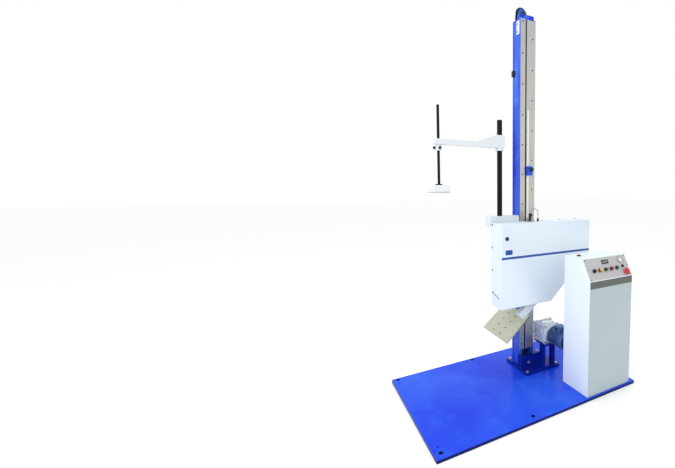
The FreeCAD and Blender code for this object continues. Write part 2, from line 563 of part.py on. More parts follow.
def makeMotor():
    side = "standWide / 2"
    rear = "gearRear"
    table = box("standTopPlate", (f"motorX - {side}", "adapterFront + tableSet", "standTop - standPlate"),
                ("standWide", f"{rear} - adapterFront - tableSet", "standPlate"))
    front = "(footY - footDepth / 2 + legSet)"
    left = f"(motorX - {side} + legSide)"
    high = "standTop - standPlate - footTop"
    pieces = [table, box("standSole", (left, front, "footTop"), ("legSpan", "legDeep", "standPlate"))]
    for name, x in (("Left", left), ("Right", f"{left} + legSpan - standPlate")):
        pieces.append(box("standLeg" + name, (x, front, "footTop"), ("standPlate", "legDeep", high)))
    node(fuse("motorStand", *pieces), "motor_stand")

    half = "gearSide / 2"
    gearFront = "gearRear - gearLong"
    case = extrude("gearCase", "XZ_Plane",
                   [(f"motorX - {half}", "standTop"), (f"motorX + {half}", "standTop"),
                    (f"motorX + {half}", f"driveZ + {half}"), (f"motorX - {half}", f"driveZ + {half}")],
                   "gearLong", ("0", rear, "0"), runsAlong((0, 1, 0)), "gearRound")
    boss = cylinder("gearBoss", (f"motorX - {half} - bossLong", "gearRear - gearLong / 2", "driveZ"),
                    "bossRadius", "bossLong + 1", "x")
    lid = box("gearLid", ("motorX - lidWide / 2", f"{gearFront} + lidSet", f"driveZ + {half} - 1"),
              ("lidWide", "lidLong", "lidHigh + 1"))
    ribs = [box(f"gearRib{i}",
                (f"motorX - {half} - ribProud", f"{gearFront} + legSet + ribInset + {i} * ribPitch",
                                "standTop + ribInset"),
                                ("ribProud + 1", "ribWide", "gearSide - 2 * ribInset"))
            for i in range(2)]
    half = "flangeSide / 2"
    flange = extrude("motorFlange", "XZ_Plane",
                     [(f"motorX - {half}", "standTop"), (f"motorX + {half}", "standTop"),
                      (f"motorX + {half}", f"driveZ + {half}"), (f"motorX - {half}", f"driveZ + {half}")],
                     "flangeThick", ("0", gearFront, "0"), runsAlong((0, 1, 0)), "flangeRound")
    ring = cylinder("motorAdapter", ("motorX", "adapterFront", "driveZ"),
                    "adapterRadius", "adapterLong", "y")
    plate = box("motorPlate", ("columnRight + plateGap", rear, "standTop - standPlate"),
                ("plateWide", "plateThick", "standPlate + gearSide + plateUp"))
    bore = cylinder("plateBore", ("motorX", f"{rear} - 1", "driveZ"), "shaftDia / 2 + boreClear",
                    "plateThick + 2", "y")
    node(fuse("gearHead", case, boss, lid, flange, ring, cut("plateCut", plate, bore), *ribs), "gearhead")

    drum = cylinder("motorDrum", ("motorX", "motorFront", "driveZ"), "motorRadius", "motorLong", "y")
    fins = []
    count = int(size("motorLong - finFirst - finLast") // size("finPitch"))
    for i in range(count):
        fins.append(cylinder(f"motorFin{i}", ("motorX", f"motorFront + finFirst + {i} * finPitch",
                                              "driveZ"),
                             "finRadius", "finThick", "y"))
    cowl = turned("fanCowl", [("0", "0"), ("finRadius - cowlRound", "0"), ("finRadius", "cowlRound"),
                   ("finRadius", "cowlLong"), ("0", "cowlLong")],
                  ("motorX", "motorFront", "driveZ"), (1, 0, 0), -90)
    tbox = box("terminalBox", ("motorX - boxWide / 2", "motorFront + boxSet",
                               "driveZ + motorRadius - boxSink"),
               ("boxWide", "boxLong", "boxHigh"))
    node(fuse("motorBody", drum, cowl, tbox, *fins), "motor_body")


def cabinetOutline(inset):
    """Side view of the console, all round by the same inset."""
    front = f"deskFront + {inset}"
    rear = f"deskFront + deskDepth - {inset}"
    top = f"panelFoot + panelLength * sin(panelTilt) - {inset}"
    slope = f"{inset} * tan(panelTilt / 2)"
    crown = f"{inset} * tan((90 - panelTilt) / 2)"
    return [
        (front, f"baseThick + {inset}"), (rear, f"baseThick + {inset}"), (rear, top),
        (f"deskFront + panelLength * cos(panelTilt) + {slope}", top), (front, f"panelFoot - {crown}"),
    ]


def makeConsole():
    outer = extrude("cabinetOuter", "YZ_Plane", cabinetOutline("0"), "deskWidth", ("deskX", "0", "0"),
                    runsAlong((1, 0, 0)), "deskRound")
    inner = extrude("cabinetInner", "YZ_Plane", cabinetOutline("deskWall"), "deskWidth - 2 * deskWall",
                    ("deskX + deskWall", "0", "0"))
    lip = "hatchLip"
    hatch = box("hatchOpening", (f"deskX + {lip}", "deskFront + deskDepth - deskWall - 1",
                                 f"baseThick + {lip}"),
                (f"deskWidth - 2 * {lip}", "deskWall + 2", f"panelFoot - baseThick - {lip}"))
    node(cut("cabinet", outer, inner, hatch), "console_cabinet")
    rear = extrude("rearPanelBody", "XZ_Plane",
                   [("deskX + rearInset", "baseThick + rearInset"),
                    ("deskX + deskWidth - rearInset", "baseThick + rearInset"),
                    ("deskX + deskWidth - rearInset", "panelFoot + rearTop"),
                    ("deskX + rearInset", "panelFoot + rearTop")],
                   "trimThick", ("0", "deskFront + deskDepth + trimThick", "0"))
    vents = [box(f"vent{i}", ("deskX + deskWidth / 2 - ventLong / 2", "deskRear - 1",
                              f"baseThick + ventUp + {i} * ventPitch"),
                              ("ventLong", "trimThick + 2", "ventWide"))
             for i in range(int(size("ventCount")))]
    node(cut("rearPanel", rear, *vents), "console_rear_panel")
    strip = box("stripPlate", ("deskX + trimSide", "deskFront - trimThick",
                               "panelFoot - stripHigh - trimDrop"),
                ("deskWidth - 2 * trimSide", "trimThick", "stripHigh"))
    node(strip, "console_strip")
    plate = onPanel(tie(doc.addObject("Part::Box", "panelSheet"), Length="deskWidth - 2 * panelInset",
                        Width="panelLength - 2 * panelInset", Height="panelThick"), "panelInset",
                        "panelInset")
    node(plate, "panel_plate")
    screws = []
    far = "deskWidth - panelScrewInset"
    high = "panelLength - panelScrewInset"
    middle = "panelLength / 2"
    near = "panelScrewInset"
    spots = [(x, up) for x in (near, far) for up in (near, middle, high)]
    for i, (x, up) in enumerate(spots):
        screw = tie(doc.addObject("Part::Cylinder", f"panelScrew{i}"), Radius="panelScrew / 2",
                    Height="panelScrewHigh")
        screws.append(onPanel(screw, x, up, "panelThick"))
    for i, z in enumerate(("baseThick + rearScrewUp", "(panelFoot + baseThick) / 2",
                           "panelFoot - panelScrewHigh")):
        for j, x in enumerate(("deskX + rearScrewInset", "deskX + deskWidth - rearScrewInset")):
            screws.append(cylinder(f"rearScrew{i}{j}", (x, "deskRear + trimThick", z), "panelScrew / 2",
                                   "panelScrewHigh", "y"))
    node(group("consoleScrews", *screws), "console_screws")
    y = "deskFront + boardSet"
    low = "baseThick + boardUp"
    board = box("mountingBoard", ("deskX + boardInset", y, low),
                ("deskWidth - 2 * boardInset", "boardThick", "boardHigh"))
    drive = box("inverterBox", ("deskX + inverterX", f"{y} - inverterDeep", "baseThick + inverterUp"),
                ("inverterWide", "inverterDeep", "inverterHigh"))
    relays = [box(f"relay{i}", (f"deskX + relayX + {i} * relayPitch", f"{y} - relayDeep",
                                "baseThick + relayUp"),
                  ("relayWide", "relayDeep", "relayHigh")) for i in range(3)]
    feet = [box(f"boardFoot{i}", ("deskX + deskWall", y, z),
                ("deskWidth - 2 * deskWall", "railBar", "railBar"))
            for i, z in enumerate((low, f"{low} + boardHigh - railBar"))]
    node(fuse("driveControls", board, drive, *relays, *feet), "drive_controls")


def makePanelParts():
    bezels = []
    for i in range(5):
        x = f"buttonFirst + {i} * buttonPitch"
        ring = tie(doc.addObject("Part::Cylinder", f"bezelRing{i}"), Radius="bezelRadius",
                   Height="bezelHigh")
        bore = tie(doc.addObject("Part::Cylinder", f"bezelBore{i}"), Radius="buttonRadius + runClear",
                   Height="bezelHigh + 2")
        bezels.append(cut(f"bezel{i}", onPanel(ring, x, "buttonUp", "panelThick"),
                          onPanel(bore, x, "buttonUp", "panelThick - 1")))
    collar = tie(doc.addObject("Part::Cylinder", "stopCollar"), Radius="collarRadius",
                 Height="stopButtonGap - runClear")
    bore = tie(doc.addObject("Part::Cylinder", "stopBore"), Radius="stemRadius + runClear",
               Height="stopButtonGap + 2")
    bezels.append(cut("stopBezel", onPanel(collar, "stopButtonX", "stopButtonUp", "panelThick"),
                      onPanel(bore, "stopButtonX", "stopButtonUp", "panelThick - 1")))
    ring = tie(doc.addObject("Part::Cylinder", "selectRing"), Radius="selectCollar", Height="selectThick")
    bezels.append(onPanel(ring, "selectX", "selectUp", "panelThick"))
    node(group("buttonBezels", *bezels), "button_bezels")
    for i, colour in enumerate(("black", "yellow", "green", "red", "start")):
        cap = turned(f"{colour}Cap",
                     [("0", "0"), ("buttonRadius", "0"), ("buttonRadius", "buttonHigh - buttonRound"),
                      ("buttonRadius - buttonRound", "buttonHigh"), ("0", "buttonHigh")], ("0", "0", "0"))
        onPanel(cap, f"buttonFirst + {i} * buttonPitch", "buttonUp",
                "panelThick + buttonTravel + buttonGap")
        node(cap, f"{colour}_button")
    radius = "stopButtonRadius"
    gap = "stopButtonGap"
    head = turned("emergencyCap",
                  [("0", "buttonGap"), ("stemRadius", "buttonGap"), ("stemRadius", gap), (radius, gap),
                   (radius, f"{gap} + stopButtonHigh * 0.55"),
                   (f"{radius} * 0.8", f"{gap} + stopButtonHigh * 0.9"),
                   (f"{radius} * 0.4", f"{gap} + stopButtonHigh"), ("0", f"{gap} + stopButtonHigh")],
                   ("0", "0", "0"))
    onPanel(head, "stopButtonX", "stopButtonUp", "panelThick + stopTravel + buttonGap")
    node(head, "emergency_stop")
    drum = tie(doc.addObject("Part::Cylinder", "selectDrum"), Radius="selectRadius", Height="drumHigh")
    grip = tie(doc.addObject("Part::Box", "selectGrip"), Length="gripWide",
               Width="2 * selectRadius - 2 * gripInset",
               Height="gripHigh")
    lift = "panelThick + selectThick + runClear"
    onPanel(drum, "selectX", "selectUp", lift)
    onPanel(grip, "selectX - gripWide / 2", "selectUp - selectRadius + gripInset", lift)
    node(fuse("selector", drum, grip), "selector_switch")
    screen = tie(doc.addObject("Part::Box", "displayBox"), Length="displayWide", Width="displayHigh",
                 Height="displayProud")
    onPanel(screen, "displayX - displayWide / 2", "displayUp - displayHigh / 2", "panelThick")
    dial = turned("gaugeBody",
                  [("0", "0"), ("gaugeRadius", "0"), ("gaugeRadius", "gaugeProud - gaugeBevel"),
                   ("gaugeRadius - gaugeBevel", "gaugeProud"), ("gaugeRadius - gaugeRim", "gaugeProud"),
                   ("gaugeRadius - gaugeRim", "gaugeProud - gaugeSink"), ("0", "gaugeProud - gaugeSink")],
                  ("0", "0", "0"))
    onPanel(dial, "gaugeX", "gaugeUp", "panelThick")
    counter = box("counterBox",
                  ("deskX + counterX - counterWide / 2", "deskFront + counterY - counterDeep / 2",
                   "deskTop"),
                  ("counterWide", "counterDeep", "counterHigh"))
    node(group("instruments", screen, dial, counter), "panel_instruments")


def coverOutline(inset):
    left = f"coverLeft + {inset}"
    right = f"coverRight - {inset}"
    low = f"coverLow + {inset}"
    slope = "((chamferEnd - coverLow) / (coverRight - chamferStart))"
    shift = f"{inset} * (sqrt(1 + {slope} ^ 2) - 1) / {slope}"
    rise = f"{inset} * (sqrt(1 + {slope} ^ 2) - {slope})"
    return [
        (left, low), (f"chamferStart - {shift}", low), (right, f"chamferEnd + {rise}"),
        (right, f"coverHigh - {inset}"), (left, f"coverHigh - {inset}"),
    ]


def makeCarriage():
    rear = "coverRear"
    outer = extrude("coverOuter", "XZ_Plane", coverOutline("0"), "coverDeep", ("0", rear, "0"),
                    lambda edge: runsAlong((0, 1, 0))(edge) or edge.CenterOfMass.y < 1 - size("coverDeep"),
                    "coverRound")
    inner = extrude("coverInner", "XZ_Plane", coverOutline("sheetWall"), "coverDeep - sheetWall + 1",
                    ("0", f"{rear} + 1", "0"))
    mouth = box("armMouth", ("coverLeft + sheetWall", "coverFront + coverLip", "coverLow - 1"),
                ("chamferStart - coverLeft - sheetWall", "coverDeep", "sheetWall + 2"))
    notch = box("stopNotch", ("notchLeft", "notchFront", "coverLow - 1"),
                ("notchRight - notchLeft", f"{rear} - notchFront + 1", "coverHigh - coverLow + 2"))
    capHole = cylinder("capHole", ("pivotX", "coverFront - 1", "pivotZ"), "capDia / 2 - capSpigot",
                       "sheetWall + 2", "y")
    node(cut("frontCover", outer, inner, mouth, notch, capHole), "front_cover")

    cap = turned("pivotCapBody",
                 [("0", "-capStem"), ("capDia / 2 - capSpigot - runGap", "-capStem"),
                  ("capDia / 2 - capSpigot - runGap", "0"), ("capDia / 2", "0"),
                  ("capDia / 2", "capHigh - capRound"),
                  ("capDia / 2 - capRound", "capHigh"), ("0", "capHigh")],
                 ("pivotX", "coverFront", "pivotZ"), (1, 0, 0), 90)
    node(cap, "pivot_cap")

    bolts = []
    for name, x, count in (("Left", "coverLeft - coverBoltHigh", 4), ("Right", "coverRight", 2)):
        for i in range(count):
            z = f"coverHigh - coverBoltDrop - {i} * coverBoltPitch"
            bolts.append(cylinder(f"coverBolt{name}{i}", (x, f"{rear} - coverBoltSet", z), "coverBolt / 2",
                                  "coverBoltHigh", "x"))
    node(group("coverBolts", *bolts), "cover_bolts")

    plate = extrude("backPlate", "XZ_Plane", coverOutline("backInset"), "backThick", ("0", "backRear", "0"))
    tabs = []
    for name, x in (("Left", "coverLeft + sheetWall"), ("Right", "coverRight - sheetWall - tabThick")):
        tabs.append(box("backTab" + name, (x, "backFront", "chamferEnd + tabInset"),
                        ("tabThick", f"{rear} - backFront - sheetWall",
                         "coverHigh - chamferEnd - 2 * tabInset")))
    boss = cylinder("pivotBossOuter", ("pivotX", "armFront + armThick + pivotGap", "pivotZ"), "pivotBoss",
                    "backFront - armFront - armThick - pivotGap + 1", "y")
    bore = cylinder("pivotBore", ("pivotX", "armFront", "pivotZ"), "pivotDia / 2 + runGap",
                    "backRear - armFront + 1", "y")
    seats = []
    for i, x in enumerate(("cylinderX + seatInset", "cylinderX + cylinderLong - seatInset - seatWide")):
        seats.append(box(f"cylinderSeat{i}", (x, "armMiddle + cylinderDia / 2", "pinZ - seatHigh / 2"),
                         ("seatWide", "backFront - armMiddle - cylinderDia / 2 + 1", "seatHigh")))
    node(cut("carriagePlate", fuse("plateAndBoss", plate, boss, *tabs, *seats), bore), "carriage_plate")

    tube = extrude("cylinderTube", "XZ_Plane",
                   [("cylinderX", "pinZ - cylinderDia / 2"),
                    ("cylinderX + cylinderLong", "pinZ - cylinderDia / 2"),
                    ("cylinderX + cylinderLong", "pinZ + cylinderDia / 2"),
                    ("cylinderX", "pinZ + cylinderDia / 2")],
                   "cylinderDia", ("0", "armMiddle + cylinderDia / 2", "0"), runsAlong((1, 0, 0)),
                   "cylinderRound")
    bore = cylinder("cylinderBore", ("cylinderX - 1", "armMiddle", "pinZ"), "pistonDia / 2 + runGap",
                    "cylinderLong - cylinderEnd", "x")
    node(cut("swingCylinder", tube, bore), "swing_cylinder")

    web = box("truckWeb", ("webLeft", "backRear", "webLow"), ("webThick", "truckFront - backRear + 1",
                                                              "webHigh - webLow"))
    truck = box("truckBlock", ("columnX - truckWide / 2", "truckFront", "truckLow"),
                ("truckWide", "truckDeep", "truckHigh - truckLow"))
    left = "columnLeft + columnIn + truckClear"
    clamp = box("chainClamp", (left, "truckRear - 1", "clampLow"),
                (f"columnX - clampReach - ({left})", "columnRear - columnWall - truckClear - truckRear + 1",
                 "clampHigh - clampLow"))
    strand = box("strandSlot", ("chainX - chainOuter - clampClear", "chainY - chainWide / 2 - clampClear",
                                "clampLow - 1"),
                 ("2 * chainHalf + 2 * clampClear", "chainWide + 2 * clampClear",
                  "clampHigh - clampLow + 2"))
    node(fuse("truckWhole", web, truck, cut("clampCut", clamp, strand)), "truck")

    blocks = []
    wall = "columnIn + truckClear"
    sides = (("Left", f"columnLeft + {wall}", "columnLeft + columnIn - 1"),
             ("Right", "columnX + truckWide / 2", "columnRight - columnIn - railWide - runClear"))
    for side, x, grooveX in sides:
        for name, z in (("Low", "truckLow"), ("High", "truckHigh - blockLong")):
            whole = box(f"guide{side}{name}", (x, "railY - blockWall", z),
                        (f"columnWidth / 2 - truckWide / 2 - ({wall})", "railDeep + 2 * blockWall",
                         "blockLong"))
            groove = box(f"groove{side}{name}", (grooveX, "railY - runClear", f"{z} - 1"),
                         ("railWide + 1 + runClear", "railDeep + 2 * runClear", "blockLong + 2"))
            blocks.append(cut(f"guideCut{side}{name}", whole, groove))
    node(group("guideBlocks", *blocks), "guide_blocks")


def makeSwing():
    """The arm and the leaf are drawn as when raised level, then turned down to rest."""
    foot = "-leafDrop"
    arm = extrude("armPlate", "XZ_Plane",
                  [("-legHalf", "0"), ("-legHalf", f"{foot} + armDeep"),
                   ("-leafNear - armSeat", f"{foot} + armDeep"),
                   ("-leafNear - armSeat", foot), ("legHalf", foot), ("legHalf", "0")], "armThick",
                  ("0", "armThick", "0"), runsAlong((0, 1, 0)), "armRound")
    hub = cylinder("armHubRing", ("0", "0", "0"), "armHub", "armThick", "y")
    reach = "leverHigh / cos(swingRest / 2)"
    lever = box("leverBar", ("-leverHalf", "armThick / 2 - leverThick / 2", "0"),
                ("2 * leverHalf", "leverThick", f"{reach} + pinRadius + slotSpare + leverEnd"))
    low = "leverHigh"
    slotTop = cylinder("leverSlotTop", ("0", "-1", reach), "pinRadius + slotSpare", "armThick + 2", "y")
    slotLow = cylinder("leverSlotLow", ("0", "-1", low), "pinRadius + slotSpare", "armThick + 2", "y")
    slotMid = box("leverSlotMid", ("-pinRadius - slotSpare", "-1", low),
                  ("2 * pinRadius + 2 * slotSpare", "armThick + 2", f"{reach} - {low}"))
    arrow = cut("lever", lever, slotTop, slotLow, slotMid)
    lever_turn = "swingRest / 2"
    turn(arrow, (0, 1, 0), lever_turn)
    tie(arrow, Placement_Rotation_Angle=lever_turn)
    shaft = cylinder("pivotShaft", ("0", "-pivotNose", "0"), "pivotDia / 2",
                     "backRear - armFront + pivotNose + shaftEnd", "y")
    whole = fuse("swingArm", arm, hub, arrow, shaft)
    turn(whole, (0, -1, 0), "swingRest")
    tie(whole, Placement_Rotation_Angle="swingRest")
    place(whole, "pivotX", "armFront", "pivotZ")
    node(whole, "swing_arm")

    depth = "leafFront - armFront"
    leaf = extrude("leafPlate", "XZ_Plane",
                   [("-leafNear - leafLength", f"{foot} - leafThick"), ("-leafNear", f"{foot} - leafThick"),
                    ("-leafNear", foot), ("-leafNear - leafLength", foot)],
                   "leafDepth", ("0", f"{depth} + leafDepth", "0"), allEdges, "leafEdge")
    taps = []
    for i in range(4):
        for j, sign in enumerate("-+"):
            taps.append(cylinder(f"tap{i}{j}",
                                 (f"-leafNear - leafLength + tapInset + {i} * tapPitch",
                                  f"{depth} + leafDepth / 2 {sign} tapSpread / 2",
                                  f"{foot} - leafThick - 1"),
                                 "tapDia / 2", "leafThick + 2"))
    table = cut("dropLeaf", leaf, *taps)
    turn(table, (0, -1, 0), "swingRest")
    tie(table, Placement_Rotation_Angle="swingRest")
    place(table, "pivotX", "armFront", "pivotZ")
    node(table, "drop_leaf")

    back = "armMiddle + leverThick / 2 + runClear"
    front = "armMiddle - leverThick / 2 - runClear - forkThick"
    low = "pinZ - forkHalf"
    wide = "leverThick + 2 * runClear + 2 * forkThick"
    rod = cylinder("pistonRod", ("pinX + forkReach + 2", "armMiddle", "pinZ"), "pistonDia / 2",
                   "pistonLong", "x")
    cheeks = [box(f"forkCheek{i}", ("pinX - forkHalf", y, low),
                  ("forkHalf + forkReach", "forkThick", "2 * forkHalf"))
              for i, y in enumerate((front, back))]
    bridge = box("forkBridge", ("pinX + forkReach - 1", front, low), ("forkHalf", wide, "2 * forkHalf"))
    pin = cylinder("forkPin", ("pinX", front, "pinZ"), "pinRadius", wide, "y")
    node(fuse("cylinderRod", rod, bridge, pin, *cheeks), "cylinder_rod")


def makePost():
    block = extrude("blockBody", "XZ_Plane",
                    [("blockLeft", "postLow"), ("blockRight", "postLow"), ("blockRight", "blockTop"),
                     ("blockLeft", "blockTop")],
                    "blockDepth", ("0", "blockFront + blockDepth", "0"), runsAlong((0, 1, 0)), "blockRound")
    bore = cylinder("postSocket", ("postX", "postY", "postLow + socketFoot"), "postDia / 2",
                    "blockTop - postLow")
    stay = box("blockStay", ("blockLeft + stayInset", "backRear", "postLow"),
               ("blockRight - blockLeft - 2 * stayInset", "blockFront - backRear + 1", "stayHigh"))
    node(cut("postBlock", fuse("blockWhole", block, stay), bore), "post_block")
    tall = "(postTop - postLow - socketFoot)"
    post = turned("postBar", [("0", "0"), ("postDia / 2", "0"), ("postDia / 2", f"{tall} - rodBevel"),
                              ("postDia / 2 - rodBevel", tall), ("0", tall)],
                  ("postX", "postY", "postLow + socketFoot"))
    node(post, "post")


def makeArm():
    ring = cylinder("ringOuter", ("postX", "postY", "armLow - ringHigh - runClear"), "ringDia / 2",
                    "ringHigh")
    bore = cylinder("ringBore", ("postX", "postY", "armLow - ringHigh - 2"), "postDia / 2 + runGap",
                    "ringHigh + 4")
    node(cut("armRing", ring, bore), "arm_ring")
    outline = [("armLeft", "armLow"), ("armRight", "armLow"), ("armRight", "armHigh"),
               ("postX - taperHigh", "armHigh"),
               ("postX - taperLow", "armLow + armSlim"), ("armLeft", "armLow + armSlim")]
    beam = extrude("armBeam", "XZ_Plane", outline, "armWide", ("0", "postY + armWide / 2", "0"),
                   runsAlong((0, 1, 0)), "beamRound")
    collar = cylinder("rodCollar", ("rodX", "postY", "armLow - collarHigh"), "collarDia / 2",
                      "collarHigh + 1")
    postBore = cylinder("armPostBore", ("postX", "postY", "armLow - 1"), "postDia / 2 + runGap",
                        "armHigh - armLow + 2")
    rodBore = cylinder("armRodBore", ("rodX", "postY", "armLow - collarHigh - 1"), "rodDia / 2 + runGap",
                       "armSlim + collarHigh + 2")
    z = "thumbZ"
    sideBore = cylinder("thumbBoreSide", ("rodX - collarDia", "postY", z), "thumbStem / 2 + runGap",
                        "collarDia - rodDia / 2", "x")
    frontBore = cylinder("thumbBoreFront", ("rodX", "postY - collarDia", z), "thumbStem / 2 + runGap",
                         "collarDia - rodDia / 2", "y")
    node(cut("supportArm", fuse("beamAndCollar", beam, collar), postBore, rodBore, sideBore, frontBore),
         "support_arm")

    tip = "runGap + thumbGap"
    reach = f"collarDia / 2 - rodDia / 2 - {tip} + 1"
    profile = [("0", "0"), ("thumbStem / 2", "0"), ("thumbStem / 2", reach),
               ("thumbDia / 2 - buttonRound", reach),
               ("thumbDia / 2", f"{reach} + buttonRound"), ("thumbDia / 2", f"{reach} + thumbLong"),
               ("thumbDia / 2 - rodBevel", f"{reach} + thumbLong + rodBevel"),
               ("0", f"{reach} + thumbLong + rodBevel")]
    side = turned("thumbSide", profile, (f"rodX - rodDia / 2 - ({tip})", "postY", z), (0, 1, 0), -90)
    node(side, "thumb_screw_side")
    front = turned("thumbFront", profile, ("rodX", f"postY - rodDia / 2 - ({tip})", z), (1, 0, 0), 90)
    node(front, "thumb_screw_front")

    rod = turned("pressRod",
                 [("0", "0"), ("padFlange", "0"), ("padFlange", "flangeHigh"), ("rodDia / 2", "flangeHigh"),
                  ("rodDia / 2", "rodTop - padTop - rodBevel"),
                  ("rodDia / 2 - rodBevel", "rodTop - padTop"),
                  ("0", "rodTop - padTop")], ("rodX", "postY", "padTop"))
    node(rod, "press_rod")
    half = "padSide / 2"
    pad = extrude("padBlock", "XY_Plane",
                  [(f"rodX - {half}", f"postY - {half}"), (f"rodX + {half}", f"postY - {half}"),
                   (f"rodX + {half}", f"postY + {half}"), (f"rodX - {half}", f"postY + {half}")],
                  "padHigh", ("0", "0", "padTop - padHigh"), allEdges, "padRound")
    node(pad, "press_pad")
    face = box("padFacing", (f"rodX - {half} + 1", f"postY - {half} + 1", "padTop - padHigh - padFace"),
               ("padSide - 2", "padSide - 2", "padFace"))
    node(face, "pad_facing")


def makeStop():
    left = "stopLeft"
    front = "coverFace - stopDeep - runClear"
    jaw = extrude("stopJaw", "XZ_Plane",
                  [(left, "stopLow"), (f"{left} + stopWide", "stopLow"), (f"{left} + stopWide", "stopHigh"),
                   (left, "stopHigh")],
                  "stopDeep", ("0", f"{front} + stopDeep", "0"), runsAlong((0, 1, 0)), "stopRound")
    groove = box("stopGroove", ("scaleLeft - runClear", "coverFace - scaleDeep - runClear", "stopLow - 1"),
                 ("scaleWide + 2 * runClear", "scaleDeep + 2 * runClear + 1", "stopHigh - stopLow + 2"))
    hole = cylinder("stopHole", (f"{left} + stopKnobSet", f"{front} - 1", "stopKnobZ"),
                    "thumbStem / 2 + runGap", "stopStem + 2", "y")
    node(cut("heightStop", jaw, groove, hole), "height_stop")
    knob = turned("stopKnobBody",
                  [("0", "-stopStem"), ("thumbStem / 2", "-stopStem"), ("thumbStem / 2", "runClear"),
                   ("stopKnobDia / 2 - knobRound", "runClear"), ("stopKnobDia / 2", "knobRound"),
                   ("stopKnobDia / 2", "stopKnobLong - knobRound"),
                   ("stopKnobDia / 2 - knobRound", "stopKnobLong"),
                   ("0", "stopKnobLong")],
                  (f"{left} + stopKnobSet", front, "stopKnobZ"), (1, 0, 0), 90)
    node(knob, "stop_knob")


def makeCable():
    side = "plugSide"
    plug = box("plugBody", (f"plugX - {side} / 2", f"plugY - {side} / 2", "plugLow"),
               (side, side, "plugHigh - plugLow"))
    bracket = box("plugBracket", (f"plugX - {side} / 2", f"plugY + {side} / 2 - 3", "coverHigh - 60"),
                  (side, f"backFront - plugY - {side} / 2 + 3", "plugLow - coverHigh + 62"))
    glandX = "plugX + 2 * cableLoop"
    gland = cylinder("glandBody", (glandX, "plugY", "coverHigh"), "glandDia / 2", "glandHigh")
    node(group("cableFittings", fuse("plugWhole", plug, bracket), gland), "cable_fittings")
    arch = doc.addObject("Part::Torus", "cableArch")
    turn(arch, (1, 0, 0), 90)
    place(arch, "plugX + cableLoop", "plugY", "plugHigh")
    tie(arch, Radius1="cableLoop", Radius2="cableDia / 2")
    arch.Angle3 = 180
    leg = cylinder("cableLeg", (glandX, "plugY", "coverHigh + glandHigh"), "cableDia / 2",
                   "plugHigh - coverHigh - glandHigh")
    node(fuse("cableLoopTube", arch, leg), "cable_loop")


for make in (makeBase, makeFoot, makeFrameBolts, makeColumn, makeCovers, makeTop, makeBearings, makeWheels,
             makeChains, makeMotor, makeConsole, makePanelParts, makeCarriage, makeSwing, makePost, makeArm,
             makeStop, makeCable):
    make()
doc.recompute()

for item in doc.Objects:
    if "Invalid" in item.State or "Error" in item.State:
        raise RuntimeError(f"{item.Label} failed: {item.State}")
os.makedirs("parts", exist_ok=True)
for item in nodes:
    if item.Shape.isNull() or not item.Shape.isValid():
        raise RuntimeError(f"{item.Label} has no valid shape")
    item.Shape.exportStep(f"parts/{item.Label}.step")
print(len(nodes), "parts written")
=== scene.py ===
import bpy
import bmesh
import json
import math
from mathutils import Matrix, Vector


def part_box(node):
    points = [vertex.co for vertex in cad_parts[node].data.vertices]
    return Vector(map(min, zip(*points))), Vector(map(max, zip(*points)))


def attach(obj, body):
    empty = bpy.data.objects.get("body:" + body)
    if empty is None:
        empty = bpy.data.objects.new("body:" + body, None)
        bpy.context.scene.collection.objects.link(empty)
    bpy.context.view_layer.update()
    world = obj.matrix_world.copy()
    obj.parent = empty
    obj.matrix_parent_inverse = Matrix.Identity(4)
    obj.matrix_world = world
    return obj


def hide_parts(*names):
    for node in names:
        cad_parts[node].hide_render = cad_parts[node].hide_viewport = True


# Package drop tester: column, chain-lifted carriage, swing leaf, press pad and console.
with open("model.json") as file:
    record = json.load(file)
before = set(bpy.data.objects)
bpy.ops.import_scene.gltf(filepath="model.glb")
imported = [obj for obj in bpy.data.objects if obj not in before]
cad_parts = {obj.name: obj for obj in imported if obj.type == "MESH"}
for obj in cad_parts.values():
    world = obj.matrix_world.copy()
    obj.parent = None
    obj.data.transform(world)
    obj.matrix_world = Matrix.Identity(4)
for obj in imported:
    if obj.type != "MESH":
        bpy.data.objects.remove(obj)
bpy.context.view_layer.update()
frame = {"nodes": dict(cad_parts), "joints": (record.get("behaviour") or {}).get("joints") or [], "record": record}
scene = bpy.context.scene
nodes = frame["nodes"]
joints = {joint["name"]: joint for joint in frame["joints"]}
outward = -Vector(joints["black_button_press"]["axis"]).normalized()  # away from the panel's face
slopeUp = outward.cross(Vector((1, 0, 0)))


class Wire:
    # one socket of a material, so that a pattern can be written as a sum
    def __init__(self, look, socket):
        self.look, self.socket = look, socket

    def sum(self, operation, *values):
        return self.look.add("ShaderNodeMath", {"operation": operation}, dict(enumerate(values)))

    def __add__(self, other):
        return self.sum("ADD", self, other)

    def __radd__(self, other):
        return self.sum("ADD", other, self)

    def __sub__(self, other):
        return self.sum("SUBTRACT", self, other)

    def __rsub__(self, other):
        return self.sum("SUBTRACT", other, self)

    def __mul__(self, other):
        return self.sum("MULTIPLY", self, other)

    def __truediv__(self, other):
        return self.sum("DIVIDE", self, other)

    def __mod__(self, other):
        return self.sum("FLOORED_MODULO", self, other)

    def __gt__(self, other):
        return self.sum("GREATER_THAN", self, other)

    def __lt__(self, other):
        return self.sum("LESS_THAN", self, other)

    def __abs__(self):
        return self.sum("ABSOLUTE", self)


